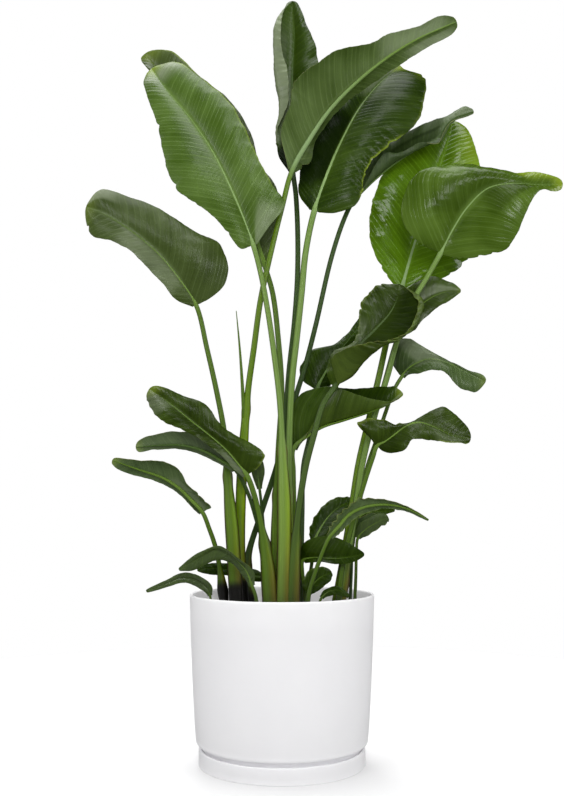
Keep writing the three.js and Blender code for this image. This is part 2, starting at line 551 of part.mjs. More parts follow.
// One closed skin over a row of rings that all have the same number of points,
// even and split alike on the front and the back.
function skinOver(rings) {
  const size = rings[0].length;
  const half = size / 2;
  const positions = [];
  rings.forEach((ring) => ring.forEach((point) => positions.push(point.x, point.y, point.z)));
  const indices = [];
  const corner = (ring, point) => ring * size + (point % size);
  for (let ring = 0; ring < rings.length - 1; ring += 1) {
    for (let point = 0; point < size; point += 1) {
      const a = corner(ring, point);
      const b = corner(ring, point + 1);
      const c = corner(ring + 1, point + 1);
      const d = corner(ring + 1, point);
      if (point < half) indices.push(a, b, c, a, c, d);
      else indices.push(a, b, d, b, c, d);
    }
  }
  const end = rings.length - 1;
  for (let column = 0; column < half - 1; column += 1) {
    const mirror = size - 1 - column;
    indices.push(corner(0, column), corner(0, mirror), corner(0, column + 1));
    indices.push(corner(0, column + 1), corner(0, mirror), corner(0, mirror - 1));
    indices.push(corner(end, column), corner(end, column + 1), corner(end, mirror));
    indices.push(corner(end, column + 1), corner(end, mirror - 1), corner(end, mirror));
  }
  const geometry = new THREE.BufferGeometry();
  geometry.setAttribute('position', new THREE.Float32BufferAttribute(positions, 3));
  geometry.setIndex(indices);
  geometry.computeVertexNormals();
  return geometry;
}

// Rings from the bottom of the stalk's hole to the tip of the blade.
function leafRings(leaf, index) {
  const facePoints = leaf.detail.across.length * 2 + 3;
  const [footRadius, bladeRadius] = leaf.radii;
  const collar = new THREE.Vector3(leaf.foot[0], leaf.foot[1], SOIL_HEIGHT + COLLAR_HEIGHT);
  const points = [collar, ...leaf.stalk.map(sight), ...leaf.rib.map(sight)];
  const curve = new THREE.CatmullRomCurve3(points);
  const bladeStart = (leaf.stalk.length + 1) / (points.length - 1);
  const wings = {
    [-1]: {
      margin: edgeLine(curve, bladeStart, leaf.left),
      fold: leaf.leftFold && edgeLine(curve, bladeStart, leaf.leftFold),
      bow: leaf.bow[0],
      phase: seededShare(index),
    },
    1: {
      margin: edgeLine(curve, bladeStart, leaf.right),
      fold: leaf.rightFold && edgeLine(curve, bladeStart, leaf.rightFold),
      bow: leaf.bow[1],
      phase: seededShare(index + LEAVES.length),
    },
  };

  const upright = frameAt(curve, 0);
  upright.along.set(0, 0, 1);
  upright.facing.set(0, -1, 0);
  upright.right.set(1, 0, 0);
  const bottom = { ...upright, centre: collar.clone() };
  bottom.centre.z = SOIL_HEIGHT - FOOT_DEPTH;
  const rings = [stalkRing(bottom, footRadius, facePoints), stalkRing(upright, footRadius, facePoints)];

  const { stalkRings, bladeRings } = leaf.detail;
  const stalkShares = [];
  for (let ring = 1; ring < stalkRings; ring += 1) stalkShares.push(ring / (stalkRings - 1 + STALK_END));
  placesAlong(curve, 0, bladeStart, stalkShares).forEach((t, ring) => {
    const radius = footRadius + (bladeRadius - footRadius) * Math.sqrt(stalkShares[ring]);
    rings.push(stalkRing(frameAt(curve, t), radius, facePoints));
  });

  const bladeShares = [];
  for (let ring = 0; ring < bladeRings; ring += 1) {
    bladeShares.push(0.5 - 0.5 * Math.cos(Math.PI * (ring + FIRST_RING) / bladeRings));
  }
  bladeShares.push(1);
  placesAlong(curve, bladeStart, 1, bladeShares).forEach((t, ring) => {
    const share = bladeShares[ring];
    const radius = TIP_RADIUS + (bladeRadius - TIP_RADIUS) * Math.pow(1 - share, RIB_TAPER);
    rings.push(bladeRing({ ...leaf, wings }, frameAt(curve, t), share, radius));
  });
  return rings;
}

// A tube along a curve that narrows from one radius to another.
function spearGeometry() {
  const curve = new THREE.CatmullRomCurve3(SPEAR.path.map(sight));
  const rings = [];
  for (let ring = 0; ring <= SPEAR.rings; ring += 1) {
    const share = ring / SPEAR.rings;
    const radius = SPEAR.radii[0] + (SPEAR.radii[1] - SPEAR.radii[0]) * share;
    rings.push(stalkRing(frameAt(curve, share), radius, SPEAR_FACE_POINTS));
  }
  return skinOver(rings);
}

function buildLeaf(leaf, index) {
  const blade = skinOver(leafRings(leaf, index));
  if (leaf.name !== 'leaf_04') return namedMesh(leaf.name, blade, leaf.colour, LEAF_ROUGHNESS);
  const joined = solidFrom(blade).add(solidFrom(spearGeometry()));
  return namedMesh(leaf.name, geometryFrom(joined), leaf.colour, LEAF_ROUGHNESS);
}

// Pot, saucer and soil

// Radius of the pot's tapered outer wall at a height.
function potRadius(height) {
  const share = (height - EDGE_HEIGHT) / (RIM_HEIGHT - EDGE_HEIGHT);
  return EDGE_RADIUS + (RIM_RADIUS - EDGE_RADIUS) * share;
}

function buildSaucer() {
  const inside = SAUCER_RADIUS - SAUCER_WALL;
  return namedMesh('saucer', turned([
    [0, 0],
    [SAUCER_RADIUS - EDGE_ROUND, 0],
    [SAUCER_RADIUS, EDGE_ROUND],
    [SAUCER_RADIUS, SAUCER_HEIGHT - EDGE_ROUND],
    [SAUCER_RADIUS - EDGE_ROUND, SAUCER_HEIGHT],
    [inside + EDGE_ROUND, SAUCER_HEIGHT],
    [inside, SAUCER_HEIGHT - EDGE_ROUND],
    [inside, SAUCER_FLOOR],
    [0, SAUCER_FLOOR],
  ]), POT_WHITE, POT_ROUGHNESS);
}

// The pot stands on a foot inside the saucer, and its wall overhangs the saucer's rim.
function buildPot() {
  const footRadius = SAUCER_RADIUS - SAUCER_WALL - FOOT_INSET;
  const floorHeight = EDGE_HEIGHT + POT_FLOOR;
  return namedMesh('pot', turned([
    [0, SAUCER_FLOOR + SEAT_GAP],
    [footRadius, SAUCER_FLOOR + SEAT_GAP],
    [footRadius, EDGE_HEIGHT],
    [EDGE_RADIUS - EDGE_ROUND, EDGE_HEIGHT],
    [EDGE_RADIUS, EDGE_HEIGHT + EDGE_ROUND],
    [potRadius(RIM_HEIGHT - EDGE_ROUND), RIM_HEIGHT - EDGE_ROUND],
    [RIM_RADIUS - EDGE_ROUND, RIM_HEIGHT],
    [RIM_RADIUS - POT_WALL + EDGE_ROUND, RIM_HEIGHT],
    [RIM_RADIUS - POT_WALL, RIM_HEIGHT - EDGE_ROUND],
    [potRadius(floorHeight) - POT_WALL, floorHeight],
    [0, floorHeight],
  ]), POT_WHITE, POT_ROUGHNESS);
}

// The soil fills the pot and has a plain hole for each stalk.
function buildSoil() {
  const bottom = EDGE_HEIGHT + POT_FLOOR + SEAT_GAP;
  const insideRadius = (height) => potRadius(height) - POT_WALL - SEAT_GAP - EDGE_ROUND / 2;
  const body = turned([
    [0, bottom],
    [insideRadius(bottom), bottom],
    [insideRadius(SOIL_HEIGHT), SOIL_HEIGHT - SOIL_DOME],
    [insideRadius(SOIL_HEIGHT) * SOIL_FLAT_SHARE, SOIL_HEIGHT],
    [0, SOIL_HEIGHT],
  ]);
  let soil = solidFrom(body);
  const holeBottom = SOIL_HEIGHT - FOOT_DEPTH - SEAT_GAP;
  const holeTop = SOIL_HEIGHT + COLLAR_HEIGHT;
  LEAVES.forEach((leaf) => {
    const radius = leaf.radii[0] + HOLE_GAP;
    const hole = new THREE.CylinderGeometry(radius, radius, holeTop - holeBottom, HOLE_SEGMENTS);
    hole.rotateX(Math.PI / 2);
    hole.translate(leaf.foot[0], leaf.foot[1], (holeTop + holeBottom) / 2);
    soil = soil.subtract(solidFrom(hole));
  });
  return namedMesh('soil', geometryFrom(soil), SOIL_BROWN, SOIL_ROUGHNESS);
}

const plant = new THREE.Group();
plant.add(buildSaucer(), buildPot(), buildSoil());
LEAVES.forEach((leaf, index) => plant.add(buildLeaf(leaf, index)));

export default plant;
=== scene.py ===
"""Looks of a potted bird of paradise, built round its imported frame.

Thirty paddle leaves stand on long stalks in the soil of a round white planter. A leaf's
places are written in millimetres as the eye in front sees them, and every mesh is made in
metres in the frame's own coordinates, with its place in its vertices.
"""

import logging
import math
import random
from dataclasses import dataclass, field
from enum import Enum

import bmesh
import bpy
import numpy as np
from mathutils import Matrix, Vector, noise


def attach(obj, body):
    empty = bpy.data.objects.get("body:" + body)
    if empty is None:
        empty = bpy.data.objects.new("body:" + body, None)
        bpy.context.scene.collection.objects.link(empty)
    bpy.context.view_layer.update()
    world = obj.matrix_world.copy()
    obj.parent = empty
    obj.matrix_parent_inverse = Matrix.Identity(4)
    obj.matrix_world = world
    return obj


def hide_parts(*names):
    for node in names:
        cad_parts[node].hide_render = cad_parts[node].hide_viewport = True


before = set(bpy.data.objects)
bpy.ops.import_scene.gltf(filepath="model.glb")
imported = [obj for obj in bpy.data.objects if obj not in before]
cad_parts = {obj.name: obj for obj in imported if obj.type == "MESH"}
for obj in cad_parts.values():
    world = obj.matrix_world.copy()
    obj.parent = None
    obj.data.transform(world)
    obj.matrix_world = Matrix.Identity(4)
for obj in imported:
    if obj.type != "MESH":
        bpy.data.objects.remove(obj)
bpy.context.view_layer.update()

LOG = logging.getLogger("bird_of_paradise")
MM = 0.001

# The eye that the leaf places are read from, in millimetres, and how far it tilts up
EYE = np.array((0.0, -1983.0, 514.0))
EYE_TILT = 0.1154
LENS_MM = 42.6
SENSOR_MM = 36.0

# Pot, saucer and soil, in millimetres
SAUCER_RADIUS = 168.5
SAUCER_HEIGHT = 32.5
SAUCER_WALL = 6.0
SAUCER_FLOOR = 6.0
RIM_RADIUS = 190.0
RIM_HEIGHT = 337.0
EDGE_RADIUS = 174.5
WALL_BULGE = 1.6
EDGE_ROUND = (7.0, 9.0)
EDGE_HEIGHT = 41.0
POT_WALL = 6.0
POT_FLOOR = 10.0
FOOT_INSET = 1.5
SEAT_GAP = 0.3
SOIL_HEIGHT = 292.0
SOIL_DIP = 4.0
COLLAR_HEIGHT = 8.0
FOOT_DEPTH = 40.0

# Blade, rib and stalk, in millimetres. The rib's rise over the blade, its ridge under it and
# the stalk's flatness and groove are shares of half the width there.
BLADE_THICKNESS = 0.9
TIP_RADIUS = 0.7
TIP_SPREAD = 1.0
ROOT_SPREAD = 1.5
ROOT_FADE = 8
RIB_TAPER = 0.8
RIB_RISE = 0.32
RIB_RIDGE = 1.1
STALK_FLATNESS = 0.85
STALK_GROOVE = 0.3
SPEAR_RADII = (4.5, 0.8)
WAVE_SEED = 7

# How finely a leaf is meshed
RING_STEP = 2.4
FEWEST_RINGS = 30
MOST_RINGS = 240
COLUMN_STEP = 5.5
FEWEST_COLUMNS = 6
MOST_COLUMNS = 15
STALK_STEP = 6.0
STALK_SIDES = 20
FEWEST_STALK_RINGS = 8
FEWEST_RIB_RINGS = 16
SPEAR_RINGS = 40

# The lateral veins: spacing and rise of the pleats, rise of the small cushions between
# veins, how the veins lean and curl to the tip, and the length of a blade in full relief
PLEAT_PITCH = 12.5
PLEAT_RISE = 0.6
CUSHION_RISE = 0.9
VEIN_LEAN = 0.62
VEIN_CURL = 0.15
FULL_RELIEF_LENGTH = 350.0

# Uneven lines as sums of waves: the height and length of each, and its multiple of the
# phase. The length is a whole wave's for the margin and one radian's for the others.
MARGIN_WAVES = ((0.5, 47, 1), (0.3, 21, 3), (0.2, 9.3, 7))
VEIN_WAVES = ((4.6, 27, 1), (2.2, 11, 5))
CUSHION_WAVES = ((0.6, 7.3, 2), (0.4, 12.7, 3))
RIPPLE_RISE = 0.9
RIPPLE_LENGTH = 41.0
CRINKLE_LENGTH = 17.0

# How far the soft ends of an edge and of a patch reach out of it and into it, as shares
EDGE_FADE = (0.0, 0.06)
PATCH_FADE = (0.05, 0.05)
PATCH_SIDE_FADE = (0.12, 0.04)

# The clasping sheath: the stretch that it narrows over, how far under its top its two ears
# stand and how high they are, and the lowest heights that it narrows between; and the stretch
# over which the darkened foot fades out
SHEATH_TAPER = 190.0
EAR_DROP = 60.0
EAR_HEIGHT = 16.0
SHEATH_LEAST = (350.0, 351.0)
DARK_FOOT_FADE = 22.0

# How far before and after the blade's base the stalk turns into the rib
RIB_BLEND = (25.0, 30.0)

# The heights between which the stalk's tan, the painted shade of its sides and the painted
# shade of the rim fade, and how far up from the collar the stalk is darkened
TAN_HEIGHTS = (330.0, 520.0)
FLANK_SHADE_HEIGHTS = (350.0, 700.0)
SHADE_HEIGHTS = (290.0, 440.0)
FOOT_DARKENING_LENGTH = 50.0

SIDES = (-1, 1)
Place = tuple[float, float, float]
Pair = tuple[float, float]
Colour = tuple[float, float, float, float]


class Face(Enum):
    """Which face of a blade is turned to the viewer."""

    UPPER = 1
    UNDER = -1


def linear(hex_colour: str) -> Colour:
    """Turns an sRGB hex colour into the linear colour that a shader takes.

    Args:
        hex_colour: a hash and six hex digits.

    Returns:
        Linear red, green and blue, and an alpha of one.
    """
    parts = [int(hex_colour[at:at + 2], 16) / 255 for at in (1, 3, 5)]
    red, green, blue = (p / 12.92 if p <= 0.04045 else ((p + 0.055) / 1.055) ** 2.4 for p in parts)
    return red, green, blue, 1.0


def feed(node: bpy.types.Node, inputs: dict) -> None:
    """Sets a node's inputs.

    Args:
        node: the node.
        inputs: for each input's name or number, a value, or the socket or the node that feeds
            it, a node by its first live output.
    """
    for name, value in inputs.items():
        if isinstance(value, bpy.types.Node):
            value = next(socket for socket in value.outputs if socket.enabled)
        if isinstance(value, bpy.types.NodeSocket):
            node.id_data.links.new(value, node.inputs[name])
        else:
            node.inputs[name].default_value = value


def add(tree: bpy.types.NodeTree, kind: str, inputs: dict | None = None, **settings) -> bpy.types.Node:
    """Adds a node with its settings and links.

    Args:
        tree: the node tree that it goes in.
        kind: the node's type name after ShaderNode.
        inputs: what goes into it, as feed takes it.
        settings: the node's own properties.

    Returns:
        The new node.
    """
    node = tree.nodes.new("ShaderNode" + kind)
    for name, value in settings.items():
        setattr(node, name, value)
    feed(node, inputs or {})
    return node


def bare_material(name: str) -> tuple[bpy.types.Material, bpy.types.NodeTree, bpy.types.Node]:
    """Makes a material with nothing but its shader.

    Args:
        name: the material's name.

    Returns:
        The material, its node tree and its shader.
    """
    material = bpy.data.materials.new(name)
    material.use_nodes = True
    tree = material.node_tree
    shader = next(node for node in tree.nodes if node.type == "BSDF_PRINCIPLED")
    return material, tree, shader


def grain(size_mm: float) -> float:
    """The scale of a noise whose spots are that wide on coordinates in metres."""
    return 1 / (size_mm * MM)


def stripes(pitch_mm: float) -> float:
    """The scale of a wave whose bands are that far apart on coordinates in metres."""
    return 2 * math.pi / (20 * pitch_mm * MM)


def unit(vectors: np.ndarray) -> np.ndarray:
    """The same directions with a length of one."""
    return vectors / np.maximum(np.linalg.norm(vectors, axis=-1, keepdims=True), 1e-9)


def smooth(values: np.ndarray, low: float, high: float) -> np.ndarray:
    """A soft step from 0 at low to 1 at high."""
    share = np.clip((np.asarray(values, float) - low) / (high - low), 0, 1)
    return share * share * (3 - 2 * share)


def fade(values: np.ndarray, low: float, high: float) -> np.ndarray:
    """A soft step from 1 at low to 0 at high."""
    return 1 - smooth(values, low, high)


def window(values: np.ndarray, start: float, end: float, outside: float, inside: float) -> np.ndarray:
    """1 between start and end, with soft steps that reach so far outside and inside."""
    return smooth(values, start - outside, start + inside) * fade(values, end - inside, end + outside)


def waves(along: np.ndarray, turn: float, table: tuple[Place, ...]) -> np.ndarray:
    """A sum of waves, from the height, length and multiple of the phase of each."""
    return sum(height * np.sin(along / length + times * turn) for height, length, times in table)


def bell(values: np.ndarray, width: float) -> np.ndarray:
    """A hump of 1 at 0 that is about so wide to each side."""
    return np.exp(-(values / width) ** 2)


def seeded_share(number: int) -> float:
    """A repeatable share between 0 and 1 for each whole number."""
    value = math.sin(number * 12.9898 + WAVE_SEED * 78.233) * 43758.5453
    return value - math.floor(value)


def sight(places: tuple[Place, ...]) -> np.ndarray:
    """Moves places on the upright plane along the lines of sight to their depths.

    Args:
        places: x, z and depth of each place, in millimetres.

    Returns:
        One row of x, y and z for each place.
    """
    spots = np.array(places, float)
    board = np.column_stack((spots[:, 0], np.zeros(len(spots)), spots[:, 1]))
    reach = (spots[:, 2] - EYE[1]) / -EYE[1]
    return EYE + (board - EYE) * reach[:, None]


def spun(profile: list[Pair], steps: int) -> bmesh.types.BMesh:
    """Spins a profile round the upright axis.

    Args:
        profile: radius and height of each corner, in millimetres.
        steps: how many steps a turn has.

    Returns:
        The mesh.
    """
    bm = bmesh.new()
    verts = [bm.verts.new((radius * MM, 0, height * MM)) for radius, height in profile]
    edges = [bm.edges.new(pair) for pair in zip(verts, verts[1:])]
    bmesh.ops.spin(bm, geom=verts + edges, axis=(0, 0, 1), cent=(0, 0, 0), angle=2 * math.pi, steps=steps,
                   use_merge=True)
    bmesh.ops.remove_doubles(bm, verts=bm.verts[:], dist=0.01 * MM)
    bmesh.ops.recalc_face_normals(bm, faces=bm.faces[:])
    return bm


def tube(rows: int) -> tuple[bmesh.types.BMesh, np.ndarray, np.ndarray]:
    """Makes a closed upright tube, ready to be laid along a line.

    Args:
        rows: how many rings it has.

    Returns:
        The mesh, and each vertex's ring and its turn round the tube.
    """
    bm = bmesh.new()
    bmesh.ops.create_cone(bm, cap_ends=True, cap_tris=False, segments=STALK_SIDES, radius1=1.0,
                          radius2=1.0, depth=2.0)
    rails = [edge for edge in bm.edges if abs(edge.verts[0].co.z - edge.verts[1].co.z) > 1]
    bmesh.ops.subdivide_edges(bm, edges=rails, cuts=rows - 2)
    ring = np.array([round((vert.co.z + 1) / 2 * (rows - 1)) for vert in bm.verts])
    turn = np.array([math.atan2(vert.co.y, vert.co.x) for vert in bm.verts])
    return bm, ring, turn


def finished(name: str, bm: bmesh.types.BMesh, materials: list[bpy.types.Material]) -> bpy.types.Object:
    """Turns a finished bmesh into a smooth-shaded object at the origin.

    Args:
        name: the piece's name.
        bm: the mesh, which is freed.
        materials: the piece's materials, in the order of their slots.

    Returns:
        The new object.
    """
    mesh = bpy.data.meshes.new(name)
    bm.to_mesh(mesh)
    bm.free()
    mesh.shade_smooth()
    for material in materials:
        mesh.materials.append(material)
    obj = bpy.data.objects.new(name, mesh)
    bpy.context.scene.collection.objects.link(obj)
    return obj


def laid(name: str, bm: bmesh.types.BMesh, spots: np.ndarray, material: bpy.types.Material
         ) -> bpy.types.Object:
    """Lays a tube along its line and finishes it.

    Args:
        name: the piece's name.
        bm: the tube, which is freed.
        spots: each vertex's place, in millimetres.
        material: the piece's material.

    Returns:
        The new object.
    """
    for vert, spot in zip(bm.verts, spots):
        vert.co = spot * MM
    bmesh.ops.recalc_face_normals(bm, faces=bm.faces[:])
    return finished(name, bm, [material])


def paint_attribute(obj: bpy.types.Object, name: str, values: np.ndarray) -> None:
    """Stores one value for each vertex, which the materials read by name."""
    attribute = obj.data.attributes.new(name, "FLOAT", "POINT")
    attribute.data.foreach_set("value", np.ascontiguousarray(values, np.float32).ravel())


def paint_map(obj: bpy.types.Object, name: str, values: np.ndarray) -> None:
    """Stores a UV map.

    Args:
        obj: the piece.
        name: the map's name.
        values: one pair for each vertex.
    """
    mesh = obj.data
    corners = np.zeros(len(mesh.loops), np.int32)
    mesh.loops.foreach_get("vertex_index", corners)
    layer = mesh.uv_layers.new(name=name)
    layer.uv.foreach_set("vector", np.ascontiguousarray(values[corners], np.float32).ravel())


@dataclass(frozen=True)
class BladeFinish:
    """Waxy cuticle of a paddle leaf: a dark glossy upper face and a paler, duller underside.

    gloss is the roughness of the upper face's wax, veins is how strongly its side veins show
    by their colour, and vein_depth is how deep they lie, in millimetres, as are the widths of
    the pattern's spots.
    """

    name: str
    dark: str
    light: str
    vein: str
    under_dark: str
    under_light: str
    gloss: float
    veins: float
    yellow: str = "#8aa02c"
    # The grey of the painted highlight and sheen, partly a real waxy film, and the near black of the painted
    # shade
    painted_highlight_and_bloom: str = "#8b957a"
    aged: str = "#050f02"
    blotch_size: float = 80.0
    band_size: float = 16.0
    streak_size: float = 3.5
    vein_depth: float = 0.6

    def face(self, label: str, dark: str, light: str, roughness: float, relief: float,
             vein_share: float) -> bpy.types.Material:
        """One face of the blade.

        Args:
            label: which face it is.
            dark: the colour of the deep places.
            light: the colour of the pale places.
            roughness: how dull the wax is.
            relief: how far the fine veins stand up, as a share of their full height.
            vein_share: how strongly the side veins show by their colour.

        Returns:
            The material.
        """
        material, tree, shader = bare_material(f"{self.name}_{label}_cuticle")
        veins = add(tree, "UVMap", uv_map="Veins")
        place = add(tree, "UVMap", uv_map="Place")
        around = add(tree, "TexCoord").outputs["Object"]
        # Broad cloudy growth, about a hand wide, and bands and streaks that run along the veins
        blotch = add(tree, "TexNoise", {"Vector": around, "Scale": grain(self.blotch_size), "Detail": 2.0})
        drawn = add(tree, "VectorMath", {0: veins, 1: (1.0, 0.05, 1.0)}, operation="MULTIPLY")
        streak = add(tree, "TexNoise", {"Vector": drawn, "Scale": grain(self.streak_size), "Detail": 2.0,
                                        "Roughness": 0.6})
        band = add(tree, "TexNoise", {"Vector": drawn, "Scale": grain(self.band_size), "Detail": 1.0})
        wide = add(tree, "Math", {0: band, 1: 0.45, 2: blotch}, operation="MULTIPLY_ADD")
        mixed = add(tree, "Math", {0: streak, 1: 0.35, 2: wide}, operation="MULTIPLY_ADD")
        span = add(tree, "MapRange", {"Value": mixed, "From Min": 0.64, "From Max": 1.2})
        # Side veins lie in the valleys between the pleats, some strong and others hardly seen
        pleat = add(tree, "TexWave", {"Vector": veins, "Scale": stripes(PLEAT_PITCH)}).outputs["Fac"]
        valley = add(tree, "Math", {0: 1.0, 1: pleat}, operation="SUBTRACT")
        line = add(tree, "Math", {0: valley, 1: 12.0}, operation="POWER")
        uneven = add(tree, "MapRange", {"Value": band, "From Min": 0.38, "From Max": 0.62,
                                        "To Min": 0.5 * vein_share, "To Max": 1.2 * vein_share})
        veined = add(tree, "Math", {0: line, 1: uneven}, operation="MULTIPLY")
        # The blade is paler right beside the rib
        across = add(tree, "SeparateXYZ", {0: place}).outputs[1]
        centred = add(tree, "Math", {0: across, 1: 0.5}, operation="SUBTRACT")
        beside = add(tree, "Math", {0: centred}, operation="ABSOLUTE")
        near_rib = add(tree, "MapRange", {"Value": beside, "From Min": 0.0, "From Max": 0.06, "To Min": 0.5,
                                          "To Max": 0.0})
        pale = add(tree, "Math", {0: near_rib, 1: veined}, operation="MAXIMUM")
        aged = add(tree, "Attribute", attribute_name="yellow").outputs["Fac"]
        # Painted highlight and sheen, partly the grey of a real waxy film, pale some zones, and painted
        # shade darkens others
        tone = add(tree, "Attribute", attribute_name="tone").outputs["Fac"]
        painted_highlight_and_bloom = add(tree, "MapRange", {"Value": tone})
        painted_shade = add(tree, "MapRange", {"Value": tone, "From Max": -1.0})
        colour = linear(dark)
        for share, tint in ((span, light), (pale, self.vein), (aged, self.yellow), (painted_highlight_and_bloom, self.painted_highlight_and_bloom),
                            (painted_shade, self.aged)):
            colour = add(tree, "Mix", {0: share, 6: colour, 7: linear(tint)}, data_type="RGBA")
        # Where painted shade lies, the wax's sheen is dimmed too
        shade_dimmed_sheen = add(tree, "MapRange", {"Value": painted_shade, "From Max": 0.6, "To Min": 0.5, "To Max": 0.06})
        dull = add(tree, "MapRange", {"Value": wide, "From Min": 0.5, "From Max": 0.95,
                                      "To Min": roughness - 0.04, "To Max": roughness + 0.06})
        fine = add(tree, "Math", {0: streak, 1: 0.05}, operation="MULTIPLY")
        height = add(tree, "Math", {0: line, 1: -0.6, 2: fine}, operation="MULTIPLY_ADD")
        bump = add(tree, "Bump", {"Height": height, "Strength": relief, "Distance": self.vein_depth * MM})
        feed(shader, {"Base Color": colour, "Specular IOR Level": shade_dimmed_sheen, "Roughness": dull, "Normal": bump,
                      "IOR": 1.45})
        return material

    def materials(self) -> dict[Face, bpy.types.Material]:
        """Makes both faces.

        Returns:
            The material of each face.
        """
        return {
            Face.UPPER: self.face("upper", self.dark, self.light, self.gloss, 0.5, self.veins),
            Face.UNDER: self.face("under", self.under_dark, self.under_light, self.gloss + 0.12, 0.8,
                                  0.6 * self.veins),
        }


@dataclass(frozen=True)
class StemFinish:
    """Smooth fibrous petiole: satin green with faint streaks, dry brown where the sheath ends."""

    name: str
    dark: str
    light: str
    base: str
    rib: str
    tan: str = "#6a5318"
    dry: str = "#6b4330"
    # Near black for the painted shade and for the darkened foot
    shade_and_dark_foot: str = "#0a0905"

    def material(self) -> bpy.types.Material:
        """The stalk's skin, the pale rib and the dry margin of the sheath.

        Returns:
            The material.
        """
        material, tree, shader = bare_material(f"{self.name}_petiole_skin")
        place = add(tree, "UVMap", uv_map="Place")
        drawn = add(tree, "VectorMath", {0: place, 1: (1.6, 26.0, 1.0)}, operation="MULTIPLY")
        streak = add(tree, "TexNoise", {"Vector": drawn, "Scale": 1.0, "Detail": 4.0, "Roughness": 0.6})
        span = add(tree, "MapRange", {"Value": streak, "From Min": 0.2, "From Max": 0.8})
        # Tan tissue lies low on the clasping sheath, which has a thin purple-brown margin; painted
        # shade darkens the sides and the stretch in the rim's shade, and the foot is darkened
        base, rib, tan, sheath, shade_and_dark_foot = (add(tree, "Attribute", attribute_name=name).outputs["Fac"]
                                         for name in ("base", "rib", "tan", "sheath", "shade_and_dark_foot"))
        torn = add(tree, "Math", {0: sheath, 1: streak}, operation="MULTIPLY")
        dried = add(tree, "MapRange", {"Value": torn, "From Min": 0.12, "From Max": 0.4})
        colour = linear(self.dark)
        for share, tint in ((span, self.light), (base, self.base), (rib, self.rib), (tan, self.tan),
                            (dried, self.dry), (shade_and_dark_foot, self.shade_and_dark_foot)):
            colour = add(tree, "Mix", {0: share, 6: colour, 7: linear(tint)}, data_type="RGBA")
        bump = add(tree, "Bump", {"Height": streak, "Strength": 0.4, "Distance": 0.5 * MM})
        feed(shader, {"Base Color": colour, "Normal": bump, "Roughness": 0.42, "IOR": 1.45})
        return material


class Finish(Enum):
    """The named states of a blade."""

    FRESH = BladeFinish("fresh", "#37500a", "#4f6a22", "#6b8542", "#56693a", "#6e8150", 0.33, 0.34)
    MATURE = BladeFinish("mature", "#2f3e0e", "#455622", "#5a6d3b", "#56692e", "#768a48", 0.34, 0.26)
    DEEP = BladeFinish("deep", "#1e3202", "#374e05", "#486311", "#2f4204", "#4a6012", 0.27, 0.26)
    OLIVE = BladeFinish("olive", "#213000", "#374c03", "#455a0b", "#304204", "#4b5f12", 0.3, 0.22)
    GLOSSY = BladeFinish("glossy", "#324809", "#4f6820", "#647f3b", "#3f5c14", "#587628", 0.17, 0.26)
    BRIGHT = BladeFinish("bright", "#3d5805", "#557a0f", "#6d9426", "#3f6004", "#587e10", 0.16, 0.34)
    BACKLIT = BladeFinish("backlit", "#334809", "#4d6423", "#6e8544", "#334809", "#51672c", 0.3, 0.34)
    DULL = BladeFinish("dull", "#30441a", "#4c6032", "#647a46", "#344822", "#526638", 0.3, 0.24)


class Stem(Enum):
    """The named states of a stalk."""

    PALE = StemFinish("pale", "#4c6c18", "#7a9648", "#789408", "#7c9858")
    GREEN = StemFinish("green", "#365602", "#587412", "#688a02", "#64822c")
    YELLOW = StemFinish("yellow", "#446402", "#68860a", "#789600", "#809a64")
    DARK = StemFinish("dark", "#22380a", "#3c581c", "#3c5804", "#54702c")
    OLIVE = StemFinish("olive", "#2e4606", "#4c6426", "#628406", "#2c420c")


@dataclass(frozen=True)
class Edge:
    """A stretch of a leaf's margin that is crinkled or has turned yellow.

    side is -1 for the left margin and 1 for the right one, start and end are shares of
    the blade's length, depth is the share of the wing's width that turns yellow, and
    crinkle is the rise of the margin's small waves in millimetres.
    """

    side: int
    start: float
    end: float
    depth: float = 0.12
    crinkle: float = 0.0
    yellow: float = 1.0


@dataclass(frozen=True)
class Nick:
    """A torn notch in a margin: its side, place and width as shares, and its depth in mm."""

    side: int
    place: float
    depth: float
    width: float = 0.02


@dataclass(frozen=True)
class Patch:
    """A zone of one wing that is lightened or darkened: lighter with painted highlight and sheen,
    partly the grey of a real waxy film, and darker with painted shade.

    side is -1 for the left wing and 1 for the right one, and tone runs from -1 for nearly black
    painted shade to 1 for the full painted highlight and sheen. start and end are shares of the
    blade's length, and inner and outer are shares of the wing's width. Those not given take in
    the whole wing.
    """

    side: int
    tone: float
    start: float = -0.1
    end: float = 1.1
    inner: float = -0.1
    outer: float = 1.1


@dataclass(frozen=True)
class Leaf:
    """One leaf as it is seen: each place is x, z and the depth it lies at.

    foot is where the stalk stands in the soil, and radii are half the stalk's width there
    and at the blade. rib runs from the blade's base to its tip. left and right are the
    margins at even steps of the rib, and their third number is how much farther than the
    rib they lie. The folds are the lines that a wing rolls over. bow is how far each wing
    arches to its upper face, as a share of its width, and wave is the height and number of
    the margin's waves. tone is the whole blade's, as a patch has it: painted shade below 0 and
    painted highlight above 0. blunt is half the width of a rounded tip, ragged is how far the
    margin strays, and pale_tip is how yellow the tip is. sheath is half the width of the stalk
    where it clasps the shoot and the height that it does so up to, and the field after it is
    the height up to which the foot is darkened nearly to black. spear is the still rolled
    young leaf that stands in the sheath.
    """

    name: str
    finish: Finish
    foot: Pair
    radii: Pair
    stalk: tuple[Place, ...]
    rib: tuple[Place, ...]
    left: tuple[Place, ...]
    right: tuple[Place, ...]
    left_fold: tuple[Place, ...] = ()
    right_fold: tuple[Place, ...] = ()
    face: Face = Face.UPPER
    stem: Stem = Stem.GREEN
    bow: Pair = (0.1, 0.1)
    wave: Pair = (1, 2)
    edges: tuple[Edge, ...] = ()
    nicks: tuple[Nick, ...] = ()
    patches: tuple[Patch, ...] = ()
    tone: float = 0.0
    blunt: float = 2.0
    ragged: float = 0.7
    pale_tip: float = 0.0
    sheath: Pair = (0.0, 0.0)
    dark_foot: float = 0.0
    spear: tuple[Place, ...] = ()
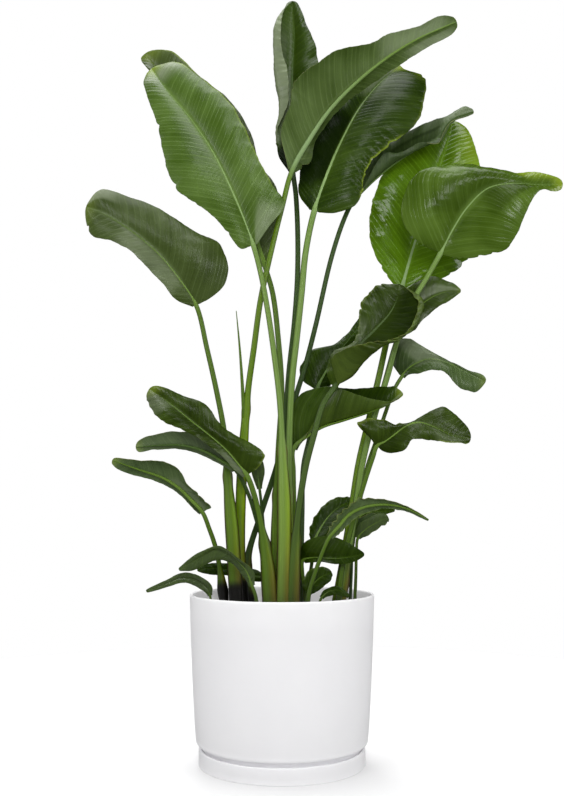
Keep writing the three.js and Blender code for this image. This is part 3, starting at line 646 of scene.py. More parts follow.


# Every leaf as the photograph shows it, whose patches and tone paint shade and highlight on its blade
LEAVES = (
    Leaf(
        "leaf_01", Finish.FRESH, foot=(2, -36), radii=(8.5, 5.5), stem=Stem.PALE, wave=(2, 2), blunt=9,
        ragged=1.2, pale_tip=0.6, sheath=(14.5, 690),
        edges=(Edge(1, 0.82, 1.0, 0.1, 0, 0.6), Edge(1, 0.3, 0.8, 0.03, 0, 0.5)),
        nicks=(Nick(-1, 0.7, 6), Nick(-1, 0.47, 6), Nick(-1, 0.36, 3, 0.014), Nick(-1, 0.18, 3, 0.012)),
        # These patches paint highlights on the lobe at the base and on the band at the top
        patches=(Patch(1, 0.4, 0.0, 0.2, 0.5, 1.0), Patch(1, 0.7, 0.88, 0.95, 0.1, 0.9),
            Patch(-1, 0.6, 0.9, 0.95, 0.1, 0.9)),
        stalk=((5, 500, -36), (1, 620, -36), (-4, 730, -36), (-17, 840, -37), (-31, 935, -40),
            (-46, 1015, -44)),
        rib=((-62, 1076, -48), (-97, 1170, -42), (-150, 1283, -22), (-205, 1367, 4), (-255, 1428, 30),
            (-288, 1476, 76)),
        left=((-84, 1070, -6), (-116, 1106, -10), (-152, 1145, -14), (-190, 1172, -16), (-229, 1202, -18),
            (-250, 1252, -18), (-263, 1308, -16), (-276, 1358, -12), (-294, 1408, -6), (-299, 1448, 0)),
        right=((-32, 1116, -6), (4, 1166, -12), (-20, 1208, -16), (-55, 1275, -16), (-82, 1335, -14),
            (-118, 1398, -8), (-170, 1446, 0), (-232, 1487, 6)),
    ),
    Leaf(
        "leaf_02", Finish.MATURE, foot=(-12, -12), radii=(8, 5.5), bow=(0.08, 0.08), wave=(3, 3), blunt=11,
        ragged=0.5, pale_tip=0.3, sheath=(12, 600),
        edges=(Edge(1, 0.7, 1.0, 0.08, 0, 0.5),),
        stalk=((-12, 500, -14), (-8, 620, -16), (-1, 760, -17), (-8, 870, -14), (-20, 970, -4)),
        rib=((-37, 1030, 2), (-62, 1110, 16), (-110, 1222, 38), (-168, 1322, 62), (-240, 1425, 88),
            (-303, 1511, 112)),
        left=((-62, 1070, -2), (-105, 1150, -6), (-150, 1240, -8), (-205, 1340, -8), (-262, 1430, -4),
            (-300, 1486, 0)),
        right=((-24, 1058, 2), (-14, 1120, 0), (-10, 1190, -6), (-50, 1262, -8), (-68, 1325, -8),
            (-112, 1395, -6), (-178, 1455, -2), (-245, 1510, 0)),
    ),
    Leaf(
        "leaf_03", Finish.DEEP, foot=(0, 8), radii=(7, 5.5), stem=Stem.DARK, bow=(0, 0.1), wave=(5, 3.5),
        blunt=9, ragged=0.8, sheath=(9, 480),
        edges=(Edge(-1, 0.25, 0.95, 0.02, 1.2, 0),),
        patches=(Patch(-1, 0.52, 0.2, 1.0, 0.62), Patch(-1, -0.9, end=0.2, inner=0.0),
            Patch(-1, 0.15, 0.2, 0.8, 0.1, 0.45), Patch(1, -0.25, 0.3, outer=0.5),
            Patch(1, -0.5, end=0.3, inner=0.0)),
        stalk=((5, 500, 4), (8, 700, 4), (15, 800, 6), (26, 900, 12), (33, 1000, 20), (34, 1100, 34),
            (30, 1190, 52)),
        rib=((24, 1240, 62), (22, 1310, 80), (22, 1400, 96), (24, 1490, 108), (27, 1570, 114),
            (22, 1634, 116)),
        left=((-4, 1275, -6), (-8, 1335, -14), (14, 1408, -34), (14, 1468, -38), (0, 1520, -36),
            (2, 1585, -24)),
        left_fold=((4, 1285, -4), (-8, 1340, -8), (-8, 1400, -14), (-17, 1465, -18), (-19, 1525, -18),
            (-10, 1590, -12)),
        right=((50, 1270, -4), (66, 1340, -8), (76, 1410, -8), (81, 1475, -8), (74, 1525, -8),
            (50, 1582, -6)),
    ),
    Leaf(
        "leaf_04", Finish.BACKLIT, foot=(-78, 12), radii=(9, 5.5), face=Face.UNDER, stem=Stem.YELLOW,
        bow=(0.08, 0.08), wave=(2, 3), blunt=8, ragged=1.3, sheath=(11, 780), dark_foot=378,
        nicks=(Nick(1, 0.06, 8, 0.03), Nick(-1, 0.28, 4)),
        patches=(Patch(-1, 0.25, 0.65, 0.95, 0.0), Patch(1, 0.35, 0.75, 0.95, 0.4),
            Patch(1, -0.35, end=0.3, inner=0.5)),
        stalk=((-87, 420, 12), (-86, 540, 10), (-80, 660, 6), (-72, 760, 0), (-60, 850, -8), (-46, 955, -18),
            (-24, 1060, -23), (0, 1160, -25)),
        spear=((-80, 700, 2), (-84, 770, -4), (-90, 850, -8), (-98, 932, -12)),
        rib=((22, 1243, -28), (55, 1305, -46), (100, 1375, -70), (150, 1431, -92), (225, 1496, -114),
            (300, 1545, -132), (388, 1586, -146)),
        left=((2, 1330, -10), (20, 1392, -18), (27, 1442, -24), (72, 1483, -26), (130, 1521, -24),
            (195, 1534, -18), (238, 1556, -12), (295, 1571, -6), (352, 1592, -2)),
        right=((58, 1265, 8), (70, 1308, 24), (98, 1352, 34), (135, 1392, 34), (172, 1422, 30),
            (215, 1455, 24), (262, 1487, 16), (310, 1520, 10), (372, 1561, 4)),
    ),
    Leaf(
        "leaf_05", Finish.DEEP, foot=(9, -14), radii=(8.5, 6.5), stem=Stem.PALE, bow=(0.08, 0.12),
        wave=(3, 4), blunt=9, ragged=1.3, pale_tip=0.8, sheath=(12, 600),
        # The yellow of the last edge lightens the curled top, partly its own paler green and partly painted
        # highlight
        edges=(Edge(1, 0.22, 0.64, 0.06, 3.5, 0.8), Edge(1, 0.66, 0.9, 0.03, 1.2, 0.5),
            Edge(1, 0.86, 1.06, 0.5, 3, 0.35)),
        nicks=(Nick(1, 0.33, 5), Nick(1, 0.45, 4), Nick(1, 0.56, 5)),
        patches=(Patch(-1, -0.85, 0.16, 0.58), Patch(-1, 0.35, 0.72, inner=0.1),
            Patch(-1, -0.4, end=0.16, inner=0.4), Patch(1, -0.25, 0.66), Patch(1, -0.12, 0.0, 0.66)),
        stalk=((14, 500, -14), (15, 650, -16), (21, 780, -18), (31, 870, -18), (42, 970, -16),
            (51, 1060, -13)),
        rib=((70, 1152, -8), (101, 1242, 0), (128, 1305, 8), (170, 1385, 20), (215, 1442, 34),
            (262, 1482, 60)),
        left=((42, 1185, 0), (40, 1235, 4), (52, 1295, 6), (78, 1352, 6), (112, 1408, 6), (152, 1452, 2),
            (205, 1480, 0)),
        right=((112, 1150, -4), (158, 1168, -8), (176, 1205, -12), (182, 1245, -14), (215, 1285, -16),
            (258, 1318, -16), (294, 1352, -14), (312, 1402, -10), (310, 1460, -4)),
    ),
    Leaf(
        "leaf_06", Finish.DULL, foot=(-62, 30), radii=(7, 5), stem=Stem.DARK, bow=(0.05, -0.25), wave=(2, 3),
        blunt=4, ragged=0.9, sheath=(10, 450), dark_foot=350,
        patches=(Patch(-1, -0.5, 0.2, 0.72, outer=0.5), Patch(-1, -0.4, 0.5, 0.74, 0.5),
            Patch(-1, -0.3, end=0.5, inner=0.5), Patch(1, -0.2, end=0.7), Patch(-1, 0.3, 0.82)),
        stalk=((-72, 400, 30), (-44, 500, 32), (-14, 590, 32), (10, 680, 30), (30, 750, 28), (50, 815, 26),
            (72, 900, 22), (107, 1050, 18), (135, 1135, 20)),
        rib=((155, 1175, 26), (187, 1211, 38), (232, 1250, 50), (290, 1290, 60), (335, 1312, 64),
            (372, 1358, 64), (421, 1378, 62)),
        left=((165, 1215, 6), (188, 1252, 12), (225, 1298, 16), (278, 1332, 16), (325, 1352, 14),
            (362, 1367, 10), (398, 1385, 4)),
        right=((178, 1210, -10), (196, 1245, -22), (222, 1282, -28), (262, 1286, -26), (300, 1307, -18),
            (342, 1307, -12), (366, 1352, -6)),
    ),
    Leaf(
        "leaf_07", Finish.BRIGHT, foot=(108, -4), radii=(7, 6.5), stem=Stem.YELLOW, wave=(1.5, 1.2),
        blunt=10, ragged=1.6, sheath=(9.5, 560),
        # The two wide yellow washes over the upper blade are painted light shining through it
        edges=(Edge(-1, 0.0, 0.9, 0.02, 0.8, 0.4), Edge(1, 0.55, 1.1, 0.9, 0, 0.4),
            Edge(-1, 0.8, 1.1, 0.9, 0, 0.25)),
        nicks=(Nick(-1, 0.14, 6), Nick(-1, 0.09, 4), Nick(1, 0.13, 6), Nick(1, 0.2, 5), Nick(1, 0.27, 5)),
        stalk=((128, 400, -2), (144, 500, 2), (160, 600, 6), (184, 700, 12), (206, 790, 18), (232, 900, 22)),
        rib=((256, 978, 26), (288, 1085, 50), (318, 1165, 78), (345, 1255, 104), (368, 1325, 120),
            (374, 1356, 128)),
        left=((218, 1025, -4), (193, 1085, -8), (192, 1140, -10), (205, 1195, -10), (232, 1255, -8),
            (272, 1298, -4), (325, 1340, 0)),
        right=((328, 998, -4), (385, 1030, -8), (418, 1085, -10), (432, 1150, -12), (434, 1210, -10),
            (426, 1275, -8), (405, 1332, -2)),
    ),
    Leaf(
        "leaf_08", Finish.GLOSSY, foot=(119, -16), radii=(8, 5.5), stem=Stem.PALE, wave=(1, 1.2), blunt=9,
        ragged=1.2, pale_tip=0.7, sheath=(9, 420),
        edges=(Edge(-1, 0.76, 1.1, 0.9, 0, 0.6), Edge(1, 0.85, 1.1, 0.9, 0, 0.4)),
        nicks=(Nick(1, 0.2, 6), Nick(1, 0.27, 5), Nick(1, 0.12, 5), Nick(-1, 0.1, 5)),
        patches=(Patch(-1, -0.3, 0.3, 0.72, outer=0.5), Patch(1, -0.4, 0.45, 0.78, outer=0.5)),
        stalk=((135, 400, -16), (152, 500, -16), (168, 600, -16), (194, 700, -17), (224, 790, -19),
            (247, 870, -22), (282, 955, -24), (312, 1005, -26)),
        rib=((342, 1058, -32), (371, 1113, -44), (402, 1160, -58), (448, 1203, -74), (500, 1214, -84),
            (560, 1210, -84), (611, 1213, -78)),
        left=((300, 1080, 0), (264, 1125, 4), (264, 1180, 10), (295, 1236, 18), (355, 1254, 22),
            (425, 1254, 22), (490, 1240, 16), (552, 1232, 8)),
        right=((385, 1048, -6), (438, 1055, -12), (482, 1068, -16), (506, 1100, -18), (524, 1138, -18),
            (540, 1172, -14), (562, 1200, -8), (588, 1203, -4)),
    ),
    Leaf(
        "leaf_09", Finish.OLIVE, foot=(22, -36), radii=(8.5, 6), stem=Stem.OLIVE, bow=(0.08, 0), wave=(3, 5),
        blunt=6, ragged=2.2, sheath=(14, 505),
        edges=(Edge(1, 0.3, 0.97, 0.05, 4, 0.12), Edge(-1, 0.3, 1.0, 0.03, 1.5, 0.3)),
        nicks=(Nick(-1, 0.68, 6), Nick(-1, 0.78, 5), Nick(-1, 0.88, 5)),
        patches=(Patch(-1, 0.15, 0.25, 0.6, 0.5), Patch(-1, -0.2, 0.5, 0.8, outer=0.4),
            Patch(1, -0.6, 0.4, 0.95, outer=0.6), Patch(1, -0.2, 0.0, 0.4)),
        stalk=((27, 420, -38), (34, 500, -42), (48, 590, -46), (66, 660, -50), (88, 732, -52)),
        rib=((112, 768, -54), (134, 806, -60), (160, 852, -60), (200, 892, -54), (233, 930, -48),
            (248, 962, -44), (253, 990, -42)),
        left=((98, 800, -8), (112, 842, -6), (156, 866, 0), (165, 905, 6), (170, 948, 8), (205, 985, 6)),
        right=((104, 832, -18), (138, 851, -28), (185, 864, -36), (222, 868, -36), (262, 884, -30),
            (290, 945, -16)),
        right_fold=((148, 792, -6), (182, 828, -12), (218, 855, -16), (255, 874, -18), (280, 900, -16),
            (300, 955, -8)),
    ),
    Leaf(
        "leaf_10", Finish.OLIVE, foot=(112, 20), radii=(6, 4.5), wave=(2, 2.5), blunt=2, ragged=1.0,
        pale_tip=0.2,
        patches=(Patch(-1, 0.25, 0.2, 1.0, outer=0.5), Patch(1, 0.35, 0.2, 0.45, 0.5),
            Patch(1, -0.25, 0.4, 1.0, outer=0.6)),
        stalk=((126, 400, 20), (147, 500, 21), (167, 600, 22), (196, 700, 20), (221, 790, 12),
            (240, 855, 4)),
        rib=((252, 885, 0), (280, 925, -4), (312, 955, -8), (348, 972, -12), (384, 976, -18)),
        left=((248, 930, 8), (278, 985, 14), (325, 1005, 14), (362, 994, 8)),
        right=((280, 890, -6), (300, 912, -10), (330, 938, -10), (362, 957, -6)),
    ),
    Leaf(
        "leaf_11", Finish.DULL, foot=(122, 6), radii=(6.5, 4), bow=(0.12, 0.1), wave=(2, 3), blunt=8,
        ragged=1.4, pale_tip=0.2,
        patches=(Patch(-1, 0.4, 0.22, 0.5), Patch(-1, -0.35, end=0.2), Patch(1, 0.15, 0.2, 0.5, outer=0.4)),
        stalk=((140, 400, 6), (157, 500, 6), (180, 600, 6), (203, 665, 6), (218, 710, 6), (238, 762, 6)),
        rib=((255, 790, 5), (268, 806, 2), (290, 820, -2), (315, 827, -8), (345, 822, -14), (388, 802, -22),
            (432, 778, -30)),
        left=((236, 820, 10), (246, 866, 20), (272, 868, 24), (304, 848, 18), (335, 828, 10), (370, 814, 6),
            (402, 798, 3)),
        right=((270, 797, -8), (293, 798, -14), (318, 805, -16), (342, 803, -16), (360, 785, -16),
            (382, 764, -12), (410, 760, -6)),
    ),
    Leaf(
        "leaf_12", Finish.DEEP, foot=(38, 6), radii=(6, 5), stem=Stem.DARK, wave=(2, 2.5), blunt=6,
        ragged=1.6,
        edges=(Edge(1, 0.05, 0.6, 0.08, 3.5, 0.4),),
        patches=(Patch(-1, -0.35, end=0.6, outer=0.6), Patch(1, -0.6, end=0.7)),
        stalk=((42, 500, 22), (45, 600, 36), (58, 660, 44), (67, 720, 48)),
        rib=((74, 762, 50), (92, 798, 56), (118, 838, 62), (150, 878, 68), (182, 924, 74)),
        left=((48, 778, 2), (39, 808, 4), (62, 842, 6), (110, 857, 6), (148, 890, 4)),
        right=((98, 770, -2), (106, 805, -4), (128, 842, -4), (156, 870, -4), (180, 902, -2)),
    ),
    Leaf(
        "leaf_13", Finish.DEEP, foot=(30, -13), radii=(6.5, 5), bow=(0.08, -0.12), wave=(2, 2), blunt=6,
        ragged=0.9, pale_tip=0.4,
        patches=(Patch(-1, -0.6, 0.5, 0.85), Patch(1, 0.3, end=0.2, outer=0.6),
            Patch(1, 0.25, 0.8, outer=0.6)),
        stalk=((27, 420, -6), (25, 520, 0), (24, 590, 4)),
        rib=((24, 636, 6), (50, 662, 4), (85, 683, -2), (130, 697, -18), (190, 716, -44), (228, 733, -58),
            (254, 757, -66)),
        left=((20, 700, 6), (38, 749, 12), (90, 767, 16), (150, 761, 16), (198, 766, 10), (236, 767, 5)),
        right=((50, 668, -8), (80, 715, -16), (118, 762, -20), (158, 752, -20), (200, 741, -14),
            (232, 739, -8)),
    ),
    Leaf(
        "leaf_14", Finish.OLIVE, foot=(112, -36), radii=(6.5, 4.5), bow=(0.12, 0.12), wave=(2, 3), blunt=6,
        ragged=1.5,
        edges=(Edge(-1, 0.02, 0.4, 0.08, 4.5, 0.35), Edge(1, 0.6, 1.0, 0.06, 0.8, 0.6)),
        patches=(Patch(1, -0.5, end=0.2), Patch(1, 0.15, 0.6, 0.9, 0.3)),
        stalk=((127, 400, -38), (150, 490, -42), (178, 580, -48), (192, 620, -52)),
        rib=((200, 642, -54), (218, 652, -58), (240, 668, -62), (262, 684, -64), (290, 692, -66),
            (322, 682, -70), (358, 664, -76), (398, 658, -82)),
        left=((162, 688, 4), (205, 698, 4), (246, 686, 2), (280, 697, 6), (312, 712, 10), (342, 724, 12),
            (368, 707, 10), (390, 678, 6)),
        right=((228, 630, -8), (258, 636, -14), (272, 655, -12), (295, 658, -8), (318, 654, -8),
            (342, 652, -8), (365, 650, -6), (385, 651, -3)),
    ),
    Leaf(
        "leaf_15", Finish.MATURE, foot=(-93, -9), radii=(9, 5), wave=(2, 2.5), blunt=15, ragged=0.9,
        pale_tip=0.2, sheath=(14.5, 640), dark_foot=372,
        nicks=(Nick(-1, 0.93, 7, 0.015), Nick(1, 0.08, 4)),
        patches=(Patch(-1, 0.25, 0.2, 0.7, 0.1), Patch(1, 0.5, 0.84, inner=0.6)),
        stalk=((-103, 450, -9), (-112, 550, -9), (-122, 670, -9), (-137, 750, -10), (-160, 850, -14)),
        rib=((-184, 944, -20), (-222, 1003, -30), (-270, 1060, -44), (-330, 1110, -60), (-390, 1148, -76),
            (-425, 1162, -88)),
        left=((-225, 958, -6), (-255, 992, -12), (-292, 1030, -16), (-326, 1064, -16), (-366, 1086, -12),
            (-402, 1098, -6)),
        right=((-158, 957, 4), (-124, 990, 10), (-119, 1035, 16), (-140, 1080, 22), (-192, 1108, 24),
            (-252, 1148, 24), (-322, 1178, 18), (-388, 1192, 8)),
    ),
    Leaf(
        "leaf_16", Finish.OLIVE, foot=(-22, -30), radii=(9, 5.5), wave=(2, 2), blunt=9, ragged=1.2,
        pale_tip=0.4, sheath=(16.5, 500),
        edges=(Edge(-1, 0.55, 0.95, 0.06, 2.5, 0.1), Edge(1, 0.02, 0.3, 0.05, 1.5, 0.4)),
        patches=(Patch(-1, -0.35, 0.4, 0.75, outer=0.6), Patch(1, -0.25, 0.2, 0.75, outer=0.6),
            Patch(-1, 0.3, end=0.25, inner=0.5), Patch(-1, 0.25, 0.78, 1.0)),
        stalk=((-31, 400, -30), (-44, 480, -36), (-60, 545, -42)),
        rib=((-74, 581, -46), (-92, 604, -50), (-118, 634, -56), (-150, 662, -62), (-188, 692, -70),
            (-232, 728, -78), (-281, 764, -88)),
        left=((-96, 594, -6), (-125, 622, -8), (-155, 645, -10), (-185, 665, -10), (-215, 679, -10),
            (-245, 692, -8), (-268, 710, -6), (-281, 742, -2)),
        right=((-56, 592, 4), (-38, 622, 8), (-58, 643, 12), (-104, 666, 14), (-140, 694, 16),
            (-154, 722, 16), (-190, 742, 12), (-236, 754, 6)),
    ),
    Leaf(
        "leaf_17", Finish.DULL, foot=(-31, -8), radii=(5.5, 4), face=Face.UNDER, stem=Stem.DARK, wave=(2, 2),
        blunt=8, ragged=0.8, pale_tip=0.3, tone=0.08, sheath=(8, 430),
        stalk=((-38, 430, -10), (-54, 490, -16), (-72, 545, -26)),
        rib=((-98, 592, -34), (-128, 612, -36), (-165, 632, -38), (-210, 643, -40), (-260, 643, -44),
            (-308, 639, -48)),
        left=((-120, 600, 6), (-165, 622, 10), (-215, 636, 10), (-265, 636, 6)),
        right=((-112, 622, -6), (-140, 650, -10), (-180, 670, -12), (-225, 672, -10), (-275, 662, -6)),
    ),
    Leaf(
        "leaf_18", Finish.DULL, foot=(-118, 14), radii=(6.5, 4.5), face=Face.UNDER, wave=(2, 2), blunt=5,
        ragged=1.0, pale_tip=0.3, sheath=(9, 400), dark_foot=372,
        nicks=(Nick(1, 0.3, 6), Nick(1, 0.22, 4)),
        patches=(Patch(-1, -0.5, end=0.22), Patch(1, 0.25, end=0.45, outer=0.6)),
        stalk=((-128, 380, 14), (-138, 430, 12), (-152, 470, 9)),
        rib=((-166, 503, 6), (-190, 529, 0), (-216, 554, -8), (-252, 576, -18), (-300, 592, -32),
            (-357, 612, -50)),
        left=((-180, 508, 6), (-210, 538, 8), (-250, 563, 8), (-295, 578, 6), (-335, 590, 2)),
        right=((-150, 512, -4), (-172, 535, -8), (-200, 560, -12), (-222, 598, -14), (-262, 610, -12),
            (-310, 609, -6)),
    ),
    Leaf(
        "leaf_19", Finish.DEEP, foot=(-50, -56), radii=(5, 3.5), tone=0.1,
        stalk=((-54, 328, -56),),
        rib=((-62, 352, -56), (-75, 384, -57), (-104, 412, -60), (-140, 428, -66), (-178, 406, -74),
            (-214, 385, -84)),
        left=((-78, 372, 4), (-105, 400, 6), (-143, 404, 6), (-182, 386, 4)),
        right=((-60, 380, -2), (-92, 408, -4), (-128, 432, -6), (-172, 420, -4)),
    ),
    Leaf(
        "leaf_20", Finish.DEEP, foot=(-145, -36), radii=(3.5, 2.5), tone=0.12,
        stalk=((-147, 316, -37),),
        rib=((-149, 332, -38), (-158, 352, -42), (-182, 366, -48), (-212, 370, -55), (-245, 356, -62),
            (-281, 341, -68)),
        left=((-156, 338, 3), (-178, 352, 4), (-208, 360, 4), (-240, 350, 3)),
        right=((-146, 350, -2), (-172, 372, -3), (-205, 378, -3), (-242, 362, -2)),
    ),
    Leaf(
        "leaf_21", Finish.DEEP, foot=(-16, 30), radii=(4, 3), stem=Stem.DARK, tone=-0.3,
        stalk=((-24, 340, 34),),
        rib=((-37, 366, 44), (-62, 373, 52), (-100, 382, 56), (-138, 388, 56), (-176, 385, 52)),
        left=((-50, 362, -2), (-85, 368, -4), (-120, 375, -4), (-150, 376, -2)),
        right=((-48, 380, 2), (-85, 390, 3), (-125, 398, 3), (-155, 395, 2)),
    ),
    Leaf(
        "leaf_22", Finish.DULL, foot=(48, -70), radii=(5.5, 4), face=Face.UNDER, blunt=1, ragged=1.8,
        edges=(Edge(-1, 0.05, 0.6, 0.15, 3, 0.2), Edge(1, 0.05, 0.6, 0.15, 2.5, 0.2)),
        stalk=((57, 342, -72), (72, 388, -74), (88, 430, -76)),
        rib=((99, 452, -78), (118, 474, -82), (142, 500, -86), (176, 515, -92), (222, 519, -98),
            (266, 509, -104), (306, 487, -108)),
        left=((104, 474, -4), (126, 503, -6), (160, 528, -6), (210, 529, -4), (258, 516, -2)),
        right=((120, 462, 4), (150, 490, 6), (188, 507, 6), (228, 512, 4), (268, 503, 2)),
    ),
    Leaf(
        "leaf_23", Finish.DEEP, foot=(47, 22), radii=(4.5, 3.5), blunt=3, ragged=1.8, tone=-0.25,
        edges=(Edge(-1, 0.1, 0.9, 0.1, 2, 0.2),),
        stalk=((54, 350, 22), (62, 400, 22)),
        rib=((66, 440, 22), (80, 470, 30), (102, 500, 42), (130, 520, 54), (160, 526, 66)),
        left=((58, 462, 2), (70, 494, 4), (98, 525, 4), (132, 535, 2)),
        right=((88, 448, -2), (112, 470, -4), (138, 490, -4), (155, 508, -2)),
    ),
    Leaf(
        "leaf_24", Finish.DEEP, foot=(126, 34), radii=(4, 3), wave=(1, 1.5), ragged=1.2,
        stalk=((134, 380, 42), (146, 445, 54)),
        rib=((162, 494, 60), (182, 503, 58), (208, 505, 54), (236, 508, 46)),
        left=((176, 509, 2), (206, 513, 2)),
        right=((178, 495, -2), (206, 497, -2)),
    ),
    Leaf(
        "leaf_25", Finish.DEEP, foot=(150, 6), radii=(4, 3), blunt=4, ragged=1.4, tone=0.12,
        edges=(Edge(1, 0.2, 1.0, 0.1, 2.5, 0.2),),
        stalk=((153, 370, 4), (155, 425, 0)),
        rib=((158, 450, -3), (172, 466, -8), (196, 481, -16), (222, 493, -26)),
        left=((158, 470, 2), (182, 492, 3), (208, 501, 2)),
        right=((176, 456, -2), (200, 470, -3), (218, 482, -2)),
    ),
    Leaf(
        "leaf_26", Finish.DEEP, foot=(50, -14), radii=(5, 4), tone=-0.35,
        stalk=((46, 350, -14), (42, 382, -14)),
        rib=((43, 404, -16), (64, 410, -26), (88, 409, -38), (114, 408, -52), (142, 411, -62),
            (171, 417, -70)),
        left=((42, 432, 2), (62, 448, 4), (95, 453, 6), (125, 446, 4), (150, 432, 2)),
        right=((62, 402, -4), (85, 402, -6), (108, 398, -8), (132, 398, -6), (155, 405, -3)),
    ),
    Leaf(
        "leaf_27", Finish.DEEP, foot=(52, -40), radii=(4.5, 3.5), blunt=4, ragged=1.4, tone=-0.2,
        edges=(Edge(-1, 0.3, 1.0, 0.1, 2, 0.2),),
        stalk=((51, 318, -41),),
        rib=((54, 336, -42), (62, 352, -44), (78, 368, -47), (103, 380, -50)),
        left=((44, 352, 2), (52, 378, 3), (82, 391, 2)),
        right=((72, 342, -2), (90, 354, -3), (102, 368, -2)),
    ),
    Leaf(
        "leaf_28", Finish.DEEP, foot=(76, -58), radii=(3.5, 2.5), tone=-0.25,
        stalk=((77, 314, -58),),
        rib=((82, 328, -60), (98, 341, -64), (120, 343, -70), (138, 330, -76)),
        left=((86, 341, 2), (108, 350, 2), (130, 343, 1)),
        right=((95, 332, -2), (112, 335, -2), (129, 331, -1)),
    ),
    Leaf(
        "leaf_29", Finish.DEEP, foot=(-34, 12), radii=(4.5, 3), stem=Stem.DARK, tone=0.1,
        stalk=((-34, 400, 8), (-40, 490, 2)),
        rib=((-47, 552, -6), (-50, 575, -10), (-52, 600, -14), (-58, 628, -16)),
        left=((-58, 570, 0), (-64, 595, 0), (-64, 615, 0)),
        right=((-40, 575, 0), (-38, 600, 0), (-48, 620, 0)),
    ),
    Leaf(
        "leaf_30", Finish.DULL, foot=(142, 30), radii=(4, 3), face=Face.UNDER, stem=Stem.DARK,
        stalk=((144, 380, 30), (147, 440, 30)),
        rib=((153, 470, 30), (170, 484, 28), (188, 490, 26), (204, 494, 24)),
        left=((156, 486, -2), (175, 497, -3), (192, 500, -2)),
        right=((166, 474, 2), (182, 482, 3), (196, 488, 2)),
    ),
)


@dataclass
class SmoothLine:
    """A smooth line through places that evens out the distances between them."""

    places: np.ndarray

    def at(self, where: np.ndarray) -> np.ndarray:
        """Finds places on the line.

        Args:
            where: shares of the line that count its stretches evenly.

        Returns:
            One row of x, y and z for each share.
        """
        spots = self.places
        last = len(spots) - 1
        reached = np.vstack((2 * spots[0] - spots[1], spots, 2 * spots[-1] - spots[-2]))
        position = np.clip(np.asarray(where, float), 0, 1) * last
        index = np.minimum(position.astype(int), last - 1)
        part = (position - index)[:, None]
        back, start, end, ahead = (reached[index + step] for step in range(4))
        before, between, after = (np.sqrt(np.linalg.norm(far - near, axis=1))[:, None]
                                  for near, far in ((back, start), (start, end), (end, ahead)))
        span = (end - start) / between
        leave = ((start - back) / before - (end - back) / (before + between) + span) * between
        reach = (span - (ahead - start) / (between + after) + (ahead - end) / after) * between
        return (start + leave * part + (3 * end - 3 * start - 2 * leave - reach) * part ** 2
                + (2 * start - 2 * end + leave + reach) * part ** 3)

    def heading(self, where: np.ndarray) -> np.ndarray:
        """The directions of the line at those shares."""
        step = 1e-4
        return unit(self.at(np.minimum(where + step, 1)) - self.at(np.maximum(where - step, 0)))

    def measured(self, start: float, end: float) -> tuple[np.ndarray, np.ndarray]:
        """Close steps along a stretch, and how far along it each lies, in millimetres."""
        steps = np.linspace(start, end, 401)
        return steps, np.append(0.0, np.cumsum(np.linalg.norm(np.diff(self.at(steps), axis=0), axis=1)))

    def even(self, start: float, end: float, shares: np.ndarray) -> np.ndarray:
        """Shares of the line that divide a stretch of it by length.

        Args:
            start: where the stretch starts.
            end: where it ends.
            shares: shares of its length.

        Returns:
            The same places as shares of the whole line.
        """
        steps, lengths = self.measured(start, end)
        return np.interp(np.asarray(shares) * lengths[-1], lengths, steps)


@dataclass(frozen=True)
class Wing:
    """One wing of a blade, by ring and column.

    normal is towards the viewer, vein is the coordinate that says which vein a place is on,
    and distance is that from the rib, both in millimetres.
    """

    place: np.ndarray
    normal: np.ndarray
    vein: np.ndarray
    distance: np.ndarray
    yellow: np.ndarray
    tone: np.ndarray


@dataclass(frozen=True)
class StalkRings:
    """The rings of a stalk and rib, from the foot in the soil to the blade's tip.

    climbed is how far up the line a ring is. radius is half its width, and upper, under and
    groove are its heights above and below and the depth of its groove as shares of that.
    on_blade, sheath and ears say how much of each there is, from 0 to 1, and the last field how far the foot
    is darkened nearly to black.
    """

    centre: np.ndarray
    facing: np.ndarray
    right: np.ndarray
    climbed: np.ndarray
    radius: np.ndarray
    upper: np.ndarray
    under: np.ndarray
    groove: np.ndarray
    on_blade: np.ndarray
    sheath: np.ndarray
    ears: np.ndarray
    blackened: np.ndarray


